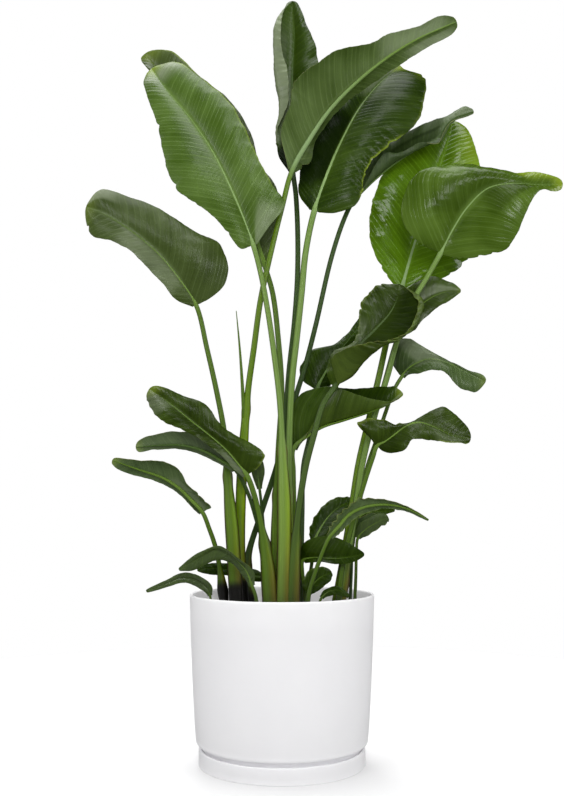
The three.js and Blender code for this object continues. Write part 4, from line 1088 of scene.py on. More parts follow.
class LeafShape:
    """Works out every place of one leaf from the list."""

    def __init__(self, leaf: Leaf, index: int) -> None:
        """Lays the leaf's lines.

        Args:
            leaf: the leaf as it is seen.
            index: its number in the list, which seeds its waves.
        """
        self.leaf = leaf
        collar = np.array(((*leaf.foot, SOIL_HEIGHT + COLLAR_HEIGHT),))
        places = np.vstack((collar, sight(leaf.stalk), sight(leaf.rib)))
        self.line = SmoothLine(places)
        self.blade_start = (len(leaf.stalk) + 1) / (len(places) - 1)
        self.margins = {side: self.edge_line(places) for side, places in zip(SIDES, (leaf.left, leaf.right))}
        self.folds = {side: self.edge_line(places) if places else None
                      for side, places in zip(SIDES, (leaf.left_fold, leaf.right_fold))}
        self.turns = {side: 2 * np.pi * seeded_share(index + shift)
                      for side, shift in zip(SIDES, (0, len(LEAVES)))}
        self.bows = dict(zip(SIDES, leaf.bow))
        self.stalk_length = self.line.measured(0, self.blade_start)[1][-1]
        self.blade_length = self.line.measured(self.blade_start, 1)[1][-1]
        self.relief = min(1.0, self.blade_length / FULL_RELIEF_LENGTH)

    def edge_line(self, places: tuple[Place, ...]) -> SmoothLine:
        """Lays a margin or a fold, from the base of the blade to its tip.

        Args:
            places: x, z and how much farther than the rib each place lies.

        Returns:
            The line.
        """
        steps = (np.arange(len(places)) + 1) / (len(places) + 1)
        rib = self.line.at(self.line.even(self.blade_start, 1, steps))
        inner = [(x, z, rib[at][1] + lift) for at, (x, z, lift) in enumerate(places)]
        ends = self.line.at(np.array((self.blade_start, 1.0)))
        return SmoothLine(np.vstack((ends[:1], sight(inner), ends[1:])))

    def frames(self, where: np.ndarray) -> tuple[np.ndarray, np.ndarray, np.ndarray, np.ndarray]:
        """Finds the centre line's places and directions.

        Args:
            where: shares of the centre line.

        Returns:
            The places, and the directions along the line, to the viewer and to the right.
        """
        centre = self.line.at(where)
        along = self.line.heading(where)
        facing = unit(EYE - centre)
        facing = unit(facing - along * (facing * along).sum(1, keepdims=True))
        return centre, along, facing, np.cross(along, facing)

    def rib_radius(self, shares: np.ndarray) -> np.ndarray:
        """Half the width of the rib at shares of the blade's length."""
        return TIP_RADIUS + (self.leaf.radii[1] - TIP_RADIUS) * (1 - shares) ** RIB_TAPER

    def tip_round(self, shares: np.ndarray) -> np.ndarray:
        """How far the tip is widened so that it ends in a half circle.

        Args:
            shares: shares of the blade's length.

        Returns:
            A share from 0 to 1 for each.
        """
        start = 1 - self.leaf.blunt / self.blade_length
        turn = np.clip((shares - start) / (1 - start), 0, 1)
        return smooth(shares, 0.8, 0.97) * np.sqrt(1 - turn ** 2)

    def stray(self, shares: np.ndarray, side: int) -> np.ndarray:
        """How far a margin strays outwards from its smooth line, nicks and all.

        Args:
            shares: shares of the blade's length.
            side: the side of the margin.

        Returns:
            Millimetres for each share.
        """
        along = 2 * np.pi * self.blade_length * shares
        stray = self.leaf.ragged * waves(along, self.turns[side], MARGIN_WAVES) * np.sin(np.pi * shares)
        for nick in self.leaf.nicks:
            if nick.side == side:
                notch = np.clip(1 - np.abs(shares - nick.place) / nick.width, 0, 1)
                stray = stray - nick.depth * notch ** 1.5
        return stray

    def rise(self, shares: np.ndarray, across: np.ndarray, vein: np.ndarray, side: int) -> np.ndarray:
        """How far a wing stands off its smooth sheet, by waves, pleats, cushions and crinkles.

        Args:
            shares: shares of the blade's length, by ring.
            across: shares of the wing's width, by column.
            vein: the vein coordinate of each place.
            side: the side of the wing.

        Returns:
            The rise in millimetres, by ring and column.
        """
        face, turn = self.leaf.face.value, self.turns[side]
        height, number = self.leaf.wave
        along = 2 * np.pi * self.blade_length * shares
        middle = np.clip(np.sin(np.pi * shares), 0, 1)
        rise = height * across ** 2 * middle * np.sin(2 * np.pi * number * shares + turn)
        pleats = face * PLEAT_RISE * np.abs(np.sin(np.pi * vein / PLEAT_PITCH))
        cushions = CUSHION_RISE * waves(vein, turn, CUSHION_WAVES)
        veined = self.relief * (pleats * smooth(across, 0.03, 0.25) + cushions * smooth(across, 0.05, 0.6))
        ripple = RIPPLE_RISE * across ** 5 * np.sin(along / RIPPLE_LENGTH + 3 * turn)
        rise = rise + np.sqrt(middle) * (veined + ripple)
        for edge in self.leaf.edges:
            if edge.side == side:
                stretch = window(shares, edge.start, edge.end, *EDGE_FADE)
                rise = rise + edge.crinkle * across ** 6 * stretch * np.sin(along / CRINKLE_LENGTH)
        return rise

    def yellow(self, shares: np.ndarray, across: np.ndarray, side: int) -> np.ndarray:
        """How yellow a wing is at its tip and its edges.

        Args:
            shares: shares of the blade's length, by ring.
            across: shares of the wing's width, by column.
            side: the side of the wing.

        Returns:
            A share from 0 to 1, by ring and column.
        """
        yellow = self.leaf.pale_tip * smooth(shares, 0.9, 1.0) * np.ones_like(across)
        for edge in self.leaf.edges:
            if edge.side == side:
                stretch = window(shares, edge.start, edge.end, *EDGE_FADE)
                yellow = np.maximum(yellow, edge.yellow * stretch * smooth(across, 1 - edge.depth, 1))
        return yellow

    def tone(self, shares: np.ndarray, across: np.ndarray, side: int) -> np.ndarray:
        """How far a wing is lightened by painted highlight and sheen, partly a real grey waxy film, and
        darkened by painted shade.

        Args:
            shares: shares of the blade's length, by ring.
            across: shares of the wing's width, by column.
            side: the side of the wing.

        Returns:
            The tone, which is below 0 where painted shade darkens the wing, by ring and column.
        """
        tone = np.full((len(shares), across.shape[1]), self.leaf.tone)
        for patch in self.leaf.patches:
            if patch.side == side:
                stretch = window(shares, patch.start, patch.end, *PATCH_FADE)
                strip = window(across, patch.inner, patch.outer, *PATCH_SIDE_FADE)
                tone = tone + patch.tone * stretch * strip
        return tone

    def wing(self, shares: np.ndarray, across: np.ndarray, side: int) -> Wing:
        """Works out one wing.

        Args:
            shares: shares of the blade's length.
            across: shares of the wing's width, 0 at the rib.
            side: -1 for the left wing and 1 for the right one.

        Returns:
            The wing.
        """
        rib, along, _, right = self.frames(self.line.even(self.blade_start, 1, shares))
        spread = ROOT_SPREAD * self.rib_radius(shares) * (1 - shares) ** ROOT_FADE + TIP_SPREAD
        spread = spread + self.leaf.blunt * self.tip_round(shares) + self.stray(shares, side)
        margin = self.margins[side].at(shares) + side * spread[:, None] * right
        span = margin - rib
        arch = side * self.leaf.face.value * self.bows[side] * np.linalg.norm(span, axis=1)
        middle = self.folds[side].at(shares) if self.folds[side] else rib + span / 2
        middle = middle + unit(np.cross(span, along)) * arch[:, None]

        # Each ring is a curve from the rib through the middle to the margin
        out = across[None, :, None]
        rib, along, middle, margin = (line[:, None] for line in (rib, along, middle, margin))
        place = (1 - out) * (1 - 2 * out) * rib + 4 * out * (1 - out) * middle + out * (2 * out - 1) * margin
        slope = (4 * out - 3) * rib + (4 - 8 * out) * middle + (4 * out - 1) * margin
        normal = unit(np.cross(slope, along)) * side

        # How far each place lies along the rib and out from it decides which vein it is on
        shares, across = shares[:, None], across[None, :]
        forward = ((place - rib) * along).sum(2)
        distance = np.linalg.norm(place - rib - forward[..., None] * along, axis=2)
        vein = self.blade_length * shares + forward - (VEIN_LEAN + VEIN_CURL * across) * distance
        vein = vein + waves(vein, self.turns[side], VEIN_WAVES)
        place = place + normal * self.rise(shares, across, vein, side)[..., None]
        return Wing(place, normal, vein, distance, self.yellow(shares, across, side),
                    self.tone(shares, across, side))

    def column_shares(self) -> np.ndarray:
        """Shares across one wing, with a narrow last strip that rounds the margin.

        Returns:
            Shares from 0 at the rib to 1.
        """
        widest = np.array((0.45,))
        rib = self.line.at(self.line.even(self.blade_start, 1, widest))
        width = max(np.linalg.norm(self.margins[side].at(widest) - rib) for side in SIDES)
        count = int(np.clip(width / COLUMN_STEP, FEWEST_COLUMNS, MOST_COLUMNS))
        shares = np.linspace(0, 1, count)
        return np.append(0.985 * (1 - (1 - shares) ** 1.25), 1.0)

    def stalk_rings(self) -> StalkRings:
        """Works out the stalk, and the rib that it runs on as.

        Returns:
            The rings.
        """
        foot, top = self.leaf.radii
        low_rings = max(FEWEST_STALK_RINGS, int(self.stalk_length / STALK_STEP))
        high_rings = max(FEWEST_RIB_RINGS, int(self.blade_length / STALK_STEP))
        # The collar's ring comes twice, because the first one ends up in the soil
        low = np.append(0.0, np.linspace(0, 1, low_rings, endpoint=False))
        high = np.linspace(0, 1, high_rings)
        where = np.concatenate((self.line.even(0, self.blade_start, low),
                                self.line.even(self.blade_start, 1, high)))
        centre, along, facing, _ = self.frames(where)
        beside = np.array((0.12,))
        tilt = unit(sum(self.wing(high, beside, side).normal[:, 0] for side in SIDES))
        settle = smooth(high, 0.0, 0.08)[:, None]
        facing[len(low):] = unit(facing[len(low):] * (1 - settle) + tilt * settle)
        right = unit(np.cross(along, facing))
        climbed = np.concatenate((low * self.stalk_length, self.stalk_length + high * self.blade_length))
        on_blade = smooth(climbed, self.stalk_length - RIB_BLEND[0], self.stalk_length + RIB_BLEND[1])
        clasp, clasp_top = self.leaf.sheath
        least, least_top = SHEATH_LEAST
        sheath = fade(centre[:, 2], max(clasp_top - SHEATH_TAPER, least), max(clasp_top, least_top))
        sheath = sheath * (clasp > 0)
        ears = bell(centre[:, 2] - clasp_top + EAR_DROP, EAR_HEIGHT) * (clasp > 0)
        blackened = fade(centre[:, 2], self.leaf.dark_foot - DARK_FOOT_FADE, self.leaf.dark_foot + 1)
        radius = np.concatenate((foot + (top - foot) * np.sqrt(low), self.rib_radius(high)))
        radius = radius + np.maximum(clasp - radius, 0) * sheath
        centre[0] = (*self.leaf.foot, SOIL_HEIGHT - FOOT_DEPTH / 2)
        facing[0] = (0, -1, 0)
        right[0] = (1, 0, 0)
        return StalkRings(centre, facing, right, climbed, radius,
                          STALK_FLATNESS + (RIB_RISE - STALK_FLATNESS) * on_blade,
                          STALK_FLATNESS + (RIB_RIDGE - STALK_FLATNESS) * on_blade,
                          STALK_GROOVE * (1 + 0.3 * sheath) * (1 - 0.8 * on_blade),
                          on_blade, sheath, ears, blackened)


class Dress:
    """The materials of all leaves, made once."""

    def __init__(self) -> None:
        """Makes each finish's materials."""
        self.blades = {finish: finish.value.materials() for finish in Finish}
        self.stems = {stem: stem.value.material() for stem in Stem}
        self.margin = self.margin_material()

    def margin_material(self) -> bpy.types.Material:
        """The blade's cut edge: a thin line of pale, slightly dry tissue.

        Returns:
            The material.
        """
        material, tree, shader = bare_material("dry_leaf_margin")
        around = add(tree, "TexCoord").outputs["Object"]
        patch = add(tree, "TexNoise", {"Vector": around, "Scale": grain(25), "Detail": 2.0})
        mix = add(tree, "Mix", {0: patch, 6: linear("#7f8a45"), 7: linear("#5f5a2e")}, data_type="RGBA")
        feed(shader, {"Base Color": mix, "Roughness": 0.55})
        return material

    def faces(self, leaf: Leaf) -> list[bpy.types.Material]:
        """The materials of a leaf's near face, its far face and its margin."""
        other = Face.UNDER if leaf.face is Face.UPPER else Face.UPPER
        return [self.blades[leaf.finish][leaf.face], self.blades[leaf.finish][other], self.margin]


@dataclass
class LeafPiece:
    """Builds and dresses one leaf: its thin blade, and the stalk that runs on as its rib."""

    leaf: Leaf
    shape: LeafShape
    dress: Dress

    def blade(self) -> bpy.types.Object:
        """The blade, a pleated sheet whose two faces and margin each have their own material.

        Returns:
            The piece.
        """
        across = self.shape.column_shares()
        rows = int(np.clip(self.shape.blade_length / RING_STEP, FEWEST_RINGS, MOST_RINGS))
        even = np.linspace(0, 1, rows)
        shares = even - 0.08 * np.sin(2 * np.pi * even)
        left, right = (self.shape.wing(shares, across, side) for side in SIDES)
        place, vein, distance, yellow, tone = (
            np.concatenate((getattr(left, part)[:, :0:-1], getattr(right, part)), axis=1)
            for part in ("place", "vein", "distance", "yellow", "tone"))
        sign = np.concatenate((-across[:0:-1], across))

        bm = bmesh.new()
        bmesh.ops.create_grid(bm, x_segments=rows - 1, y_segments=len(sign) - 1, size=1.0)
        ring = [round((vert.co.x + 1) / 2 * (rows - 1)) for vert in bm.verts]
        column = [round((vert.co.y + 1) / 2 * (len(sign) - 1)) for vert in bm.verts]
        for vert, spot in zip(bm.verts, place[ring, column]):
            vert.co = spot * MM
        bmesh.ops.reverse_faces(bm, faces=bm.faces[:])
        obj = finished(f"{self.leaf.name}_blade", bm, self.dress.faces(self.leaf))
        beside = np.sign(sign[column]) * distance[ring, column]
        paint_map(obj, "Veins", np.column_stack((vein[ring, column], beside)) * MM)
        paint_map(obj, "Place", np.column_stack((shares[ring], sign[column] / 2 + 0.5)))
        paint_attribute(obj, "yellow", yellow[ring, column])
        paint_attribute(obj, "tone", tone[ring, column])
        sheet = obj.modifiers.new("thickness", "SOLIDIFY")
        sheet.thickness = BLADE_THICKNESS * MM
        sheet.offset = 0.0
        sheet.material_offset = 1
        sheet.material_offset_rim = 2
        return obj

    def stalk(self) -> bpy.types.Object:
        """The grooved stalk, which runs on along the blade as its rib.

        Returns:
            The piece.
        """
        rings = self.shape.stalk_rings()
        bm, ring, turn = tube(len(rings.radius))
        x = np.cos(turn)
        y = np.sin(turn)
        face = self.leaf.face.value
        upper = rings.upper[ring]
        on_upper = y * face >= 0
        dip = rings.groove[ring] * bell(x, 0.42) * np.clip(y * face, 0, 1)
        height = np.where(on_upper, upper, rings.under[ring]) * y
        height = height - face * dip * np.where(on_upper, upper, 0) / STALK_FLATNESS
        # The sheath's two margins end in small ears
        width = x * (1 + 0.3 * rings.ears[ring] * np.clip((np.abs(x) - 0.6) / 0.4, 0, 1) ** 2)
        spots = rings.centre[ring] + (rings.right[ring] * width[:, None] + rings.facing[ring]
                                      * height[:, None]) * rings.radius[ring][:, None]
        obj = laid(f"{self.leaf.name}_stalk", bm, spots, self.dress.stems[self.leaf.stem])
        paint_map(obj, "Place", np.column_stack((rings.climbed[ring] * MM, turn / (2 * np.pi) + 0.5)))
        self.paint_skin(obj, rings, ring, x)
        return obj

    def paint_skin(self, obj: bpy.types.Object, rings: StalkRings, ring: np.ndarray,
                   x: np.ndarray) -> None:
        """Notes where the stalk pales, yellows and dries, and where painted shade and a darkened foot darken
        it.

        Args:
            obj: the stalk.
            rings: its rings.
            ring: the ring of each vertex.
            x: how far right of the middle each vertex lies, as a share of the radius.
        """
        shape = self.shape
        up, climbed, sheath, ears = (values[ring] for values in (rings.centre[:, 2], rings.climbed,
                                                                 rings.sheath, rings.ears))
        margins = bell(np.abs(x) - 0.93, 0.07)
        strips = 0.25 + 0.75 * smooth(x, 0.1, 0.55) + 0.3 * smooth(-x, 0.6, 0.9)
        # The rib pales at the blade's base and takes the blade's own green towards the tip
        greener = 0.75 * smooth((climbed - shape.stalk_length) / shape.blade_length, 0.1, 0.75)
        # Painted shade darkens the sides more than the middle, more so low down where leaves shade them
        flank_shade = smooth(np.abs(x), 0.55, 1.0) * (0.4 + 0.35 * fade(up, *FLANK_SHADE_HEIGHTS))
        flank_shade = flank_shade * (1 - rings.on_blade[ring])
        # Painted shade of the rim darkens the stalk low down, and it is darker still just above the soil
        shade = 0.35 * fade(up, *SHADE_HEIGHTS) + 0.3 * fade(climbed, 0, FOOT_DARKENING_LENGTH)
        for name, values in (
                ("rib", rings.on_blade[ring] * (1 - greener)),
                ("sheath", sheath * margins + 0.5 * ears * margins),
                ("base", sheath * strips + 0.8 * ears * margins),
                ("tan", 0.75 * sheath * fade(up, *TAN_HEIGHTS) * smooth(x, -0.3, 0.6)),
                # The last holds the painted shade and the darkened foot
                ("shade_and_dark_foot", np.maximum.reduce((shade, rings.blackened[ring], flank_shade)))):
            paint_attribute(obj, name, np.clip(values, 0, 1))

    def spear(self) -> bpy.types.Object:
        """The still rolled young leaf that stands in the sheath.

        Returns:
            The piece.
        """
        line = SmoothLine(sight(self.leaf.spear))
        shares = np.linspace(0, 1, SPEAR_RINGS)
        centre = line.at(shares)
        right = unit(np.cross(line.heading(shares), unit(EYE - centre)))
        facing = np.cross(right, line.heading(shares))
        foot, tip = SPEAR_RADII
        radius = foot + (tip - foot) * shares ** 1.3
        bm, ring, turn = tube(SPEAR_RINGS)
        # The rolled blade overlaps itself along a seam that winds slowly round
        seam = 0.16 * ((turn + 2.2 * shares[ring]) % (2 * np.pi)) / (2 * np.pi)
        wide = (radius[ring] * (0.92 + seam))[:, None]
        out = right[ring] * np.cos(turn)[:, None] + facing[ring] * np.sin(turn)[:, None]
        spots = centre[ring] + out * wide
        obj = laid(f"{self.leaf.name}_young_leaf", bm, spots, self.dress.stems[Stem.GREEN])
        paint_map(obj, "Place", np.column_stack((shares[ring] * 0.25, turn / (2 * np.pi) + 0.5)))
        for name in ("rib", "sheath", "base", "tan", "shade_and_dark_foot"):
            paint_attribute(obj, name, np.zeros(len(ring)))
        return obj

    def build(self) -> list[bpy.types.Object]:
        """Builds the leaf's pieces, which stand for its node.

        Returns:
            The pieces.
        """
        pieces = [self.blade(), self.stalk()]
        if self.leaf.spear:
            pieces.append(self.spear())
        for piece in pieces:
            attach(piece, "root")
            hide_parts(self.leaf.name)
        return pieces


@dataclass
class Planter:
    """The round pot, the saucer under it, and their matt white finish."""

    steps: int = 144
    edge_round: float = 2.0
    pieces: list[bpy.types.Object] = field(default_factory=list)

    def wall_radius(self, height: float) -> float:
        """Radius of the pot's tapered outer wall at a height, in millimetres."""
        share = (height - EDGE_HEIGHT) / (RIM_HEIGHT - EDGE_HEIGHT)
        return EDGE_RADIUS + (RIM_RADIUS - EDGE_RADIUS) * share + WALL_BULGE * math.sin(math.pi * share)

    def material(self) -> bpy.types.Material:
        """Matt fired ceramic: near white, with faint turning marks and a dry, even sheen.

        Returns:
            The material.
        """
        material, tree, shader = bare_material("matt_white_ceramic")
        around = add(tree, "TexCoord").outputs["Object"]
        cloud = add(tree, "TexNoise", {"Vector": around, "Scale": grain(120), "Detail": 2.0})
        mix = add(tree, "Mix", {0: cloud, 6: linear("#eeedf1"), 7: linear("#f4f3f6")}, data_type="RGBA")
        flat = add(tree, "VectorMath", {0: around, 1: (0.15, 0.15, 1.0)}, operation="MULTIPLY")
        turned = add(tree, "TexNoise", {"Vector": flat, "Scale": grain(14), "Detail": 2.0})
        pores = add(tree, "TexNoise", {"Vector": around, "Scale": grain(2.5), "Detail": 3.0})
        height = add(tree, "Math", {0: turned, 1: 3.0, 2: pores}, operation="MULTIPLY_ADD")
        bump = add(tree, "Bump", {"Height": height, "Strength": 0.12, "Distance": 0.2 * MM})
        dull = add(tree, "MapRange", {"Value": pores, "To Min": 0.5, "To Max": 0.66})
        feed(shader, {"Base Color": mix, "Normal": bump, "Roughness": dull, "IOR": 1.5})
        # Some light passes through the thin white wall
        feed(shader, {"Subsurface Weight": 0.8, "Subsurface Radius": (1.0, 1.0, 1.0),
                      "Subsurface Scale": 16 * MM})
        return material

    def turned(self, name: str, profile: list[Pair], material: bpy.types.Material) -> bpy.types.Object:
        """Spins a profile round the upright axis.

        Args:
            name: the piece's name, and its node.
            profile: radius and height of each corner, from the axis below to the axis above.
            material: the piece's material.

        Returns:
            The new piece.
        """
        obj = finished(name + "_turned", spun(profile, self.steps), [material])
        bevel = obj.modifiers.new("rounded edges", "BEVEL")
        bevel.width = self.edge_round * MM
        bevel.segments = 4
        bevel.limit_method = "ANGLE"
        bevel.angle_limit = math.radians(35)
        bevel.harden_normals = True
        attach(obj, "root")
        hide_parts(name)
        self.pieces.append(obj)
        return obj

    def build(self) -> list[bpy.types.Object]:
        """Builds the saucer and the pot.

        Returns:
            Both pieces.
        """
        material = self.material()
        inside = SAUCER_RADIUS - SAUCER_WALL
        self.turned("saucer", [(0, 0), (SAUCER_RADIUS, 0), (SAUCER_RADIUS, SAUCER_HEIGHT),
                               (inside, SAUCER_HEIGHT), (inside, SAUCER_FLOOR), (0, SAUCER_FLOOR)], material)
        foot = inside - FOOT_INSET
        seat = SAUCER_FLOOR + SEAT_GAP
        floor = EDGE_HEIGHT + POT_FLOOR
        in_round, up_round = EDGE_ROUND
        edge = [(EDGE_RADIUS - in_round * (1 - math.sin(turn)),
                 EDGE_HEIGHT + up_round * (1 - math.cos(turn)))
                for turn in (step * math.pi / 16 for step in range(9))]
        heights = [EDGE_HEIGHT + up_round + (RIM_HEIGHT - EDGE_HEIGHT - up_round) * step / 12
                   for step in range(1, 13)]
        wall = [(self.wall_radius(height), height) for height in heights]
        self.turned("pot", [(0, seat), (foot, seat), (foot, EDGE_HEIGHT), *edge, *wall,
                            (RIM_RADIUS - POT_WALL, RIM_HEIGHT),
                            (self.wall_radius(floor) - POT_WALL, floor), (0, floor)], material)
        return self.pieces


@dataclass(frozen=True)
class Crumb:
    """A dry, rough material in two mixed colours, with the size and relief of its grain in mm."""

    name: str
    dark: str
    light: str
    size: float
    relief: float

    def material(self) -> bpy.types.Material:
        """The crumb itself, dull all over.

        Returns:
            The material.
        """
        material, tree, shader = bare_material(self.name)
        around = add(tree, "TexCoord").outputs["Object"]
        crumb = add(tree, "TexNoise", {"Vector": around, "Scale": grain(self.size), "Detail": 5.0})
        span = add(tree, "MapRange", {"Value": crumb, "From Min": 0.35, "From Max": 0.65})
        mix = add(tree, "Mix", {0: span, 6: linear(self.dark), 7: linear(self.light)}, data_type="RGBA")
        bump = add(tree, "Bump", {"Height": crumb, "Distance": self.relief * MM})
        feed(shader, {"Base Color": mix, "Normal": bump, "Roughness": 0.95})
        return material


@dataclass(frozen=True)
class Litter:
    """Small lumps on the bed: how many, their least and greatest half width in mm, and how flat.

    A block is a chip with flat sides, and any other lump is a rough ball.
    """

    name: str
    count: int
    low: float
    high: float
    flat: float
    block: bool
    crumb: Crumb


LITTER = (
    Litter("soil_clods", 620, 2.0, 6.5, 0.7, False, Crumb("dry_soil_clod", "#21180f", "#4a3828", 3, 0.8)),
    Litter("soil_bark", 150, 4.0, 10.0, 0.35, True, Crumb("composted_bark", "#3a2415", "#6b4a2e", 5, 0.8)),
    Litter("soil_perlite", 150, 1.2, 2.8, 0.9, False,
           Crumb("expanded_perlite", "#bfbab0", "#e6e2da", 2, 0.4)),
)


@dataclass
class Soil:
    """Potting soil: a crumbly dark bed with clods, bark chips and grains of perlite."""

    planter: Planter
    seed: int = 11
    rings: int = 34
    steps: int = 120
    crumb: Crumb = Crumb("damp_potting_soil", "#1c140d", "#3b2b1f", 6, 1.5)

    def surface(self, x: float, y: float) -> float:
        """Height of the bed at a place.

        Args:
            x: millimetres to the right.
            y: millimetres to the back.

        Returns:
            The height in millimetres.
        """
        broad = noise.noise(Vector((x / 55, y / 55, 0.3)))
        crumbs = noise.noise(Vector((x / 14, y / 14, 2.7)))
        return SOIL_HEIGHT - SOIL_DIP + 3.0 * broad + 2.0 * crumbs

    def bed(self) -> bpy.types.Object:
        """The bed itself, which fills the pot.

        Returns:
            The piece.
        """
        bottom = EDGE_HEIGHT + POT_FLOOR + SEAT_GAP
        inset = POT_WALL + SEAT_GAP + 1
        low = self.planter.wall_radius(bottom) - inset
        high = self.planter.wall_radius(SOIL_HEIGHT) - inset
        top = [(high * (1 - step / self.rings), SOIL_HEIGHT - SOIL_DIP) for step in range(self.rings + 1)]
        bm = spun([(0.0, bottom), (low, bottom), *top], self.steps)
        for vert in bm.verts:
            if vert.co.z > (bottom + SOIL_HEIGHT) / 2 * MM:
                vert.co.z = self.surface(vert.co.x / MM, vert.co.y / MM) * MM
        return finished("soil_bed", bm, [self.crumb.material()])

    def spots(self, draw: random.Random, count: int, size: float) -> list[Pair]:
        """Draws places on the bed that keep clear of the stalks.

        Args:
            draw: the seeded draw.
            count: how many places.
            size: how far each stays from the stalks and the wall, in millimetres.

        Returns:
            x and y of each place, in millimetres.
        """
        reach = self.planter.wall_radius(SOIL_HEIGHT) - POT_WALL - size - 3
        found: list[Pair] = []
        while len(found) < count:
            angle = draw.uniform(0, 2 * math.pi)
            radius = reach * math.sqrt(draw.random())
            spot = (radius * math.cos(angle), radius * math.sin(angle))
            if all(math.dist(spot, leaf.foot) > leaf.radii[0] + size * 0.6 for leaf in LEAVES):
                found.append(spot)
        return found

    def scattered(self, litter: Litter) -> bpy.types.Object:
        """Scatters small lumps over the bed, half sunk in it.

        Args:
            litter: what the lumps are like.

        Returns:
            The piece.
        """
        draw = random.Random(f"{litter.name}{self.seed}")
        bm = bmesh.new()
        for x, y in self.spots(draw, litter.count, litter.high):
            size = draw.uniform(litter.low, litter.high)
            if litter.block:
                made = bmesh.ops.create_cube(bm, size=1.5)["verts"]
                sides = list({edge for vert in made for edge in vert.link_edges})
                made = bmesh.ops.bevel(bm, geom=sides, offset=0.22, segments=1, profile=0.5, affect="EDGES",
                                       material=-1)["verts"]
            else:
                made = bmesh.ops.create_icosphere(bm, subdivisions=1, radius=1.0)["verts"]
            flat = size * litter.flat
            stretch = Vector((size, size * draw.uniform(0.5, 0.9), flat * draw.uniform(0.7, 1.2)))
            for vert in made:
                rough = 1 + 0.35 * noise.noise(vert.co * 1.3 + Vector((x, y, size)))
                vert.co = vert.co * stretch * rough
            turn = (Matrix.Rotation(draw.uniform(0, 2 * math.pi), 3, "Z")
                    @ Matrix.Rotation(draw.uniform(-0.5, 0.5), 3, "X"))
            bmesh.ops.rotate(bm, verts=made, cent=(0, 0, 0), matrix=turn)
            bmesh.ops.translate(bm, verts=made, vec=Vector((x, y, self.surface(x, y) + 0.25 * flat)))
            bmesh.ops.scale(bm, verts=made, vec=(MM, MM, MM))
        return finished(litter.name, bm, [litter.crumb.material()])

    def build(self) -> list[bpy.types.Object]:
        """Builds the bed and what lies on it.

        Returns:
            The pieces, of which the bed stands for the soil's node.
        """
        bed = self.bed()
        pieces = [bed, *(self.scattered(litter) for litter in LITTER)]
        for piece in pieces:
            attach(piece, "root")
        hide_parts("soil")
        return pieces


@dataclass(frozen=True)
class Softbox:
    """A soft light that points at the plant: place, width and height in metres, and watts."""

    name: str
    place: Place
    size: Pair
    power: float
    aim: Place = (0, 0, 0.9)

    def build(self) -> bpy.types.Object:
        """Hangs the light.

        Returns:
            The light.
        """
        data = bpy.data.lights.new(self.name, "AREA")
        data.shape = "RECTANGLE"
        data.size, data.size_y = self.size
        data.energy = self.power
        light = bpy.data.objects.new(self.name, data)
        light.location = self.place
        light.rotation_euler = (Vector(self.aim) - Vector(self.place)).to_track_quat("-Z", "Y").to_euler()
        bpy.context.scene.collection.objects.link(light)
        return light


# Lights that leave no highlight
FILLS = (
    Softbox("key", (0.15, -2.9, 2.0), (0.7, 1.6), 34),
    Softbox("left fill", (-1.9, -2.3, 2.5), (1.1, 1.1), 18),
    Softbox("right fill", (2.4, -2.2, 1.6), (0.9, 0.9), 14),
    Softbox("back fill", (-0.6, 2.9, 1.9), (1.2, 1.2), 24),
)
# White cards in front, above and at both sides, which are mirrored and light nothing
CARDS = (
    Softbox("front card", (0.1, -2.1, 3.4), (0.6, 0.8), 8),
    Softbox("top card", (-0.1, -0.1, 3.5), (3.2, 1.0), 34),
    Softbox("low card", (0.6, -2.9, 1.55), (0.9, 0.5), 9),
    Softbox("left card", (-2.6, -0.9, 1.7), (0.9, 1.9), 22),
    Softbox("right card", (2.6, -1.3, 1.5), (0.9, 1.9), 22),
)


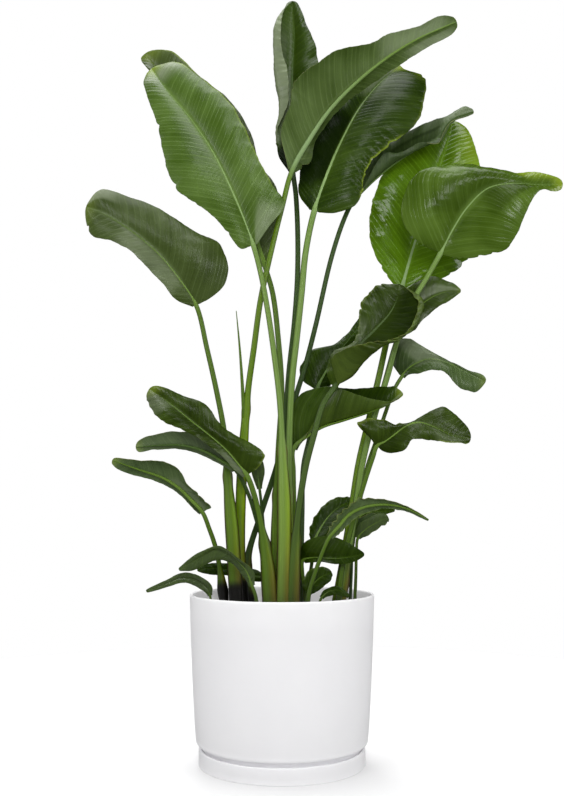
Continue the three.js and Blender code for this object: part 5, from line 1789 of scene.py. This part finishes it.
@dataclass
class Studio:
    """A plain pale floor, soft light all round and the camera in front."""

    sky: float = 0.74
    above: float = 1.7
    floor_radius: float = 1.6

    def camera(self) -> None:
        """The camera, at the photograph's height, distance and tilt."""
        lens = bpy.data.cameras.new("camera")
        lens.lens = LENS_MM
        lens.sensor_width = SENSOR_MM
        eye = bpy.data.objects.new("camera", lens)
        eye.location = Vector(EYE) * MM
        eye.rotation_euler = (math.pi / 2 + EYE_TILT, 0.0, 0.0)
        bpy.context.scene.collection.objects.link(eye)
        bpy.context.scene.camera = eye

    def floor(self) -> None:
        """A round pale floor under the saucer."""
        bm = bmesh.new()
        bmesh.ops.create_circle(bm, cap_ends=True, segments=96, radius=self.floor_radius)
        material, _, shader = bare_material("pale_floor_paint")
        feed(shader, {"Base Color": linear("#e3e3e3"), "Roughness": 0.8})
        floor = finished("floor", bm, [material])
        # Nothing mirrors the floor or catches its light, which would veil the greens
        floor.visible_glossy = False
        floor.visible_diffuse = False

    def world(self) -> None:
        """A white room: bright where the camera sees it, and softer as a light."""
        world = bpy.data.worlds.new("white_room")
        world.use_nodes = True
        tree = world.node_tree
        tree.nodes.clear()
        seen = add(tree, "LightPath").outputs["Is Camera Ray"]
        soft, bright = (add(tree, "Background", {"Color": (1, 1, 1, 1), "Strength": strength})
                        for strength in (self.sky, 1.0))
        mixed = add(tree, "MixShader", {0: seen, 1: soft, 2: bright})
        add(tree, "OutputWorld", {"Surface": mixed})
        # The wax and the ceramic mirror the cards, and not the room
        world.cycles_visibility.glossy = False
        bpy.context.scene.world = world

    def overhead(self) -> None:
        """An even light from above, wide enough that its shadows have no edge."""
        data = bpy.data.lights.new("overhead", "SUN")
        data.energy = self.above
        data.angle = math.radians(28)
        light = bpy.data.objects.new("overhead", data)
        light.rotation_euler = (math.radians(-9), math.radians(-2), 0.0)
        light.visible_glossy = False
        bpy.context.scene.collection.objects.link(light)

    def build(self) -> None:
        """Sets the stage."""
        self.camera()
        self.floor()
        self.world()
        for light in FILLS:
            light.build().visible_glossy = False
        for card in CARDS:
            card.build().visible_diffuse = False
        self.overhead()
        bpy.context.scene.view_settings.view_transform = "Standard"


def main() -> None:
    """Builds the stage, the planter, the soil and every leaf, and notes the sizes."""
    logging.basicConfig(level=logging.INFO, format="%(name)s: %(message)s")
    Studio().build()
    planter = Planter()
    pieces = planter.build() + Soil(planter).build()
    dress = Dress()
    for index, leaf in enumerate(LEAVES):
        pieces += LeafPiece(leaf, LeafShape(leaf, index), dress).build()
    for piece in pieces:
        LOG.info("%s: %d faces", piece.name, len(piece.data.polygons))


if __name__ == "__main__":
    main()
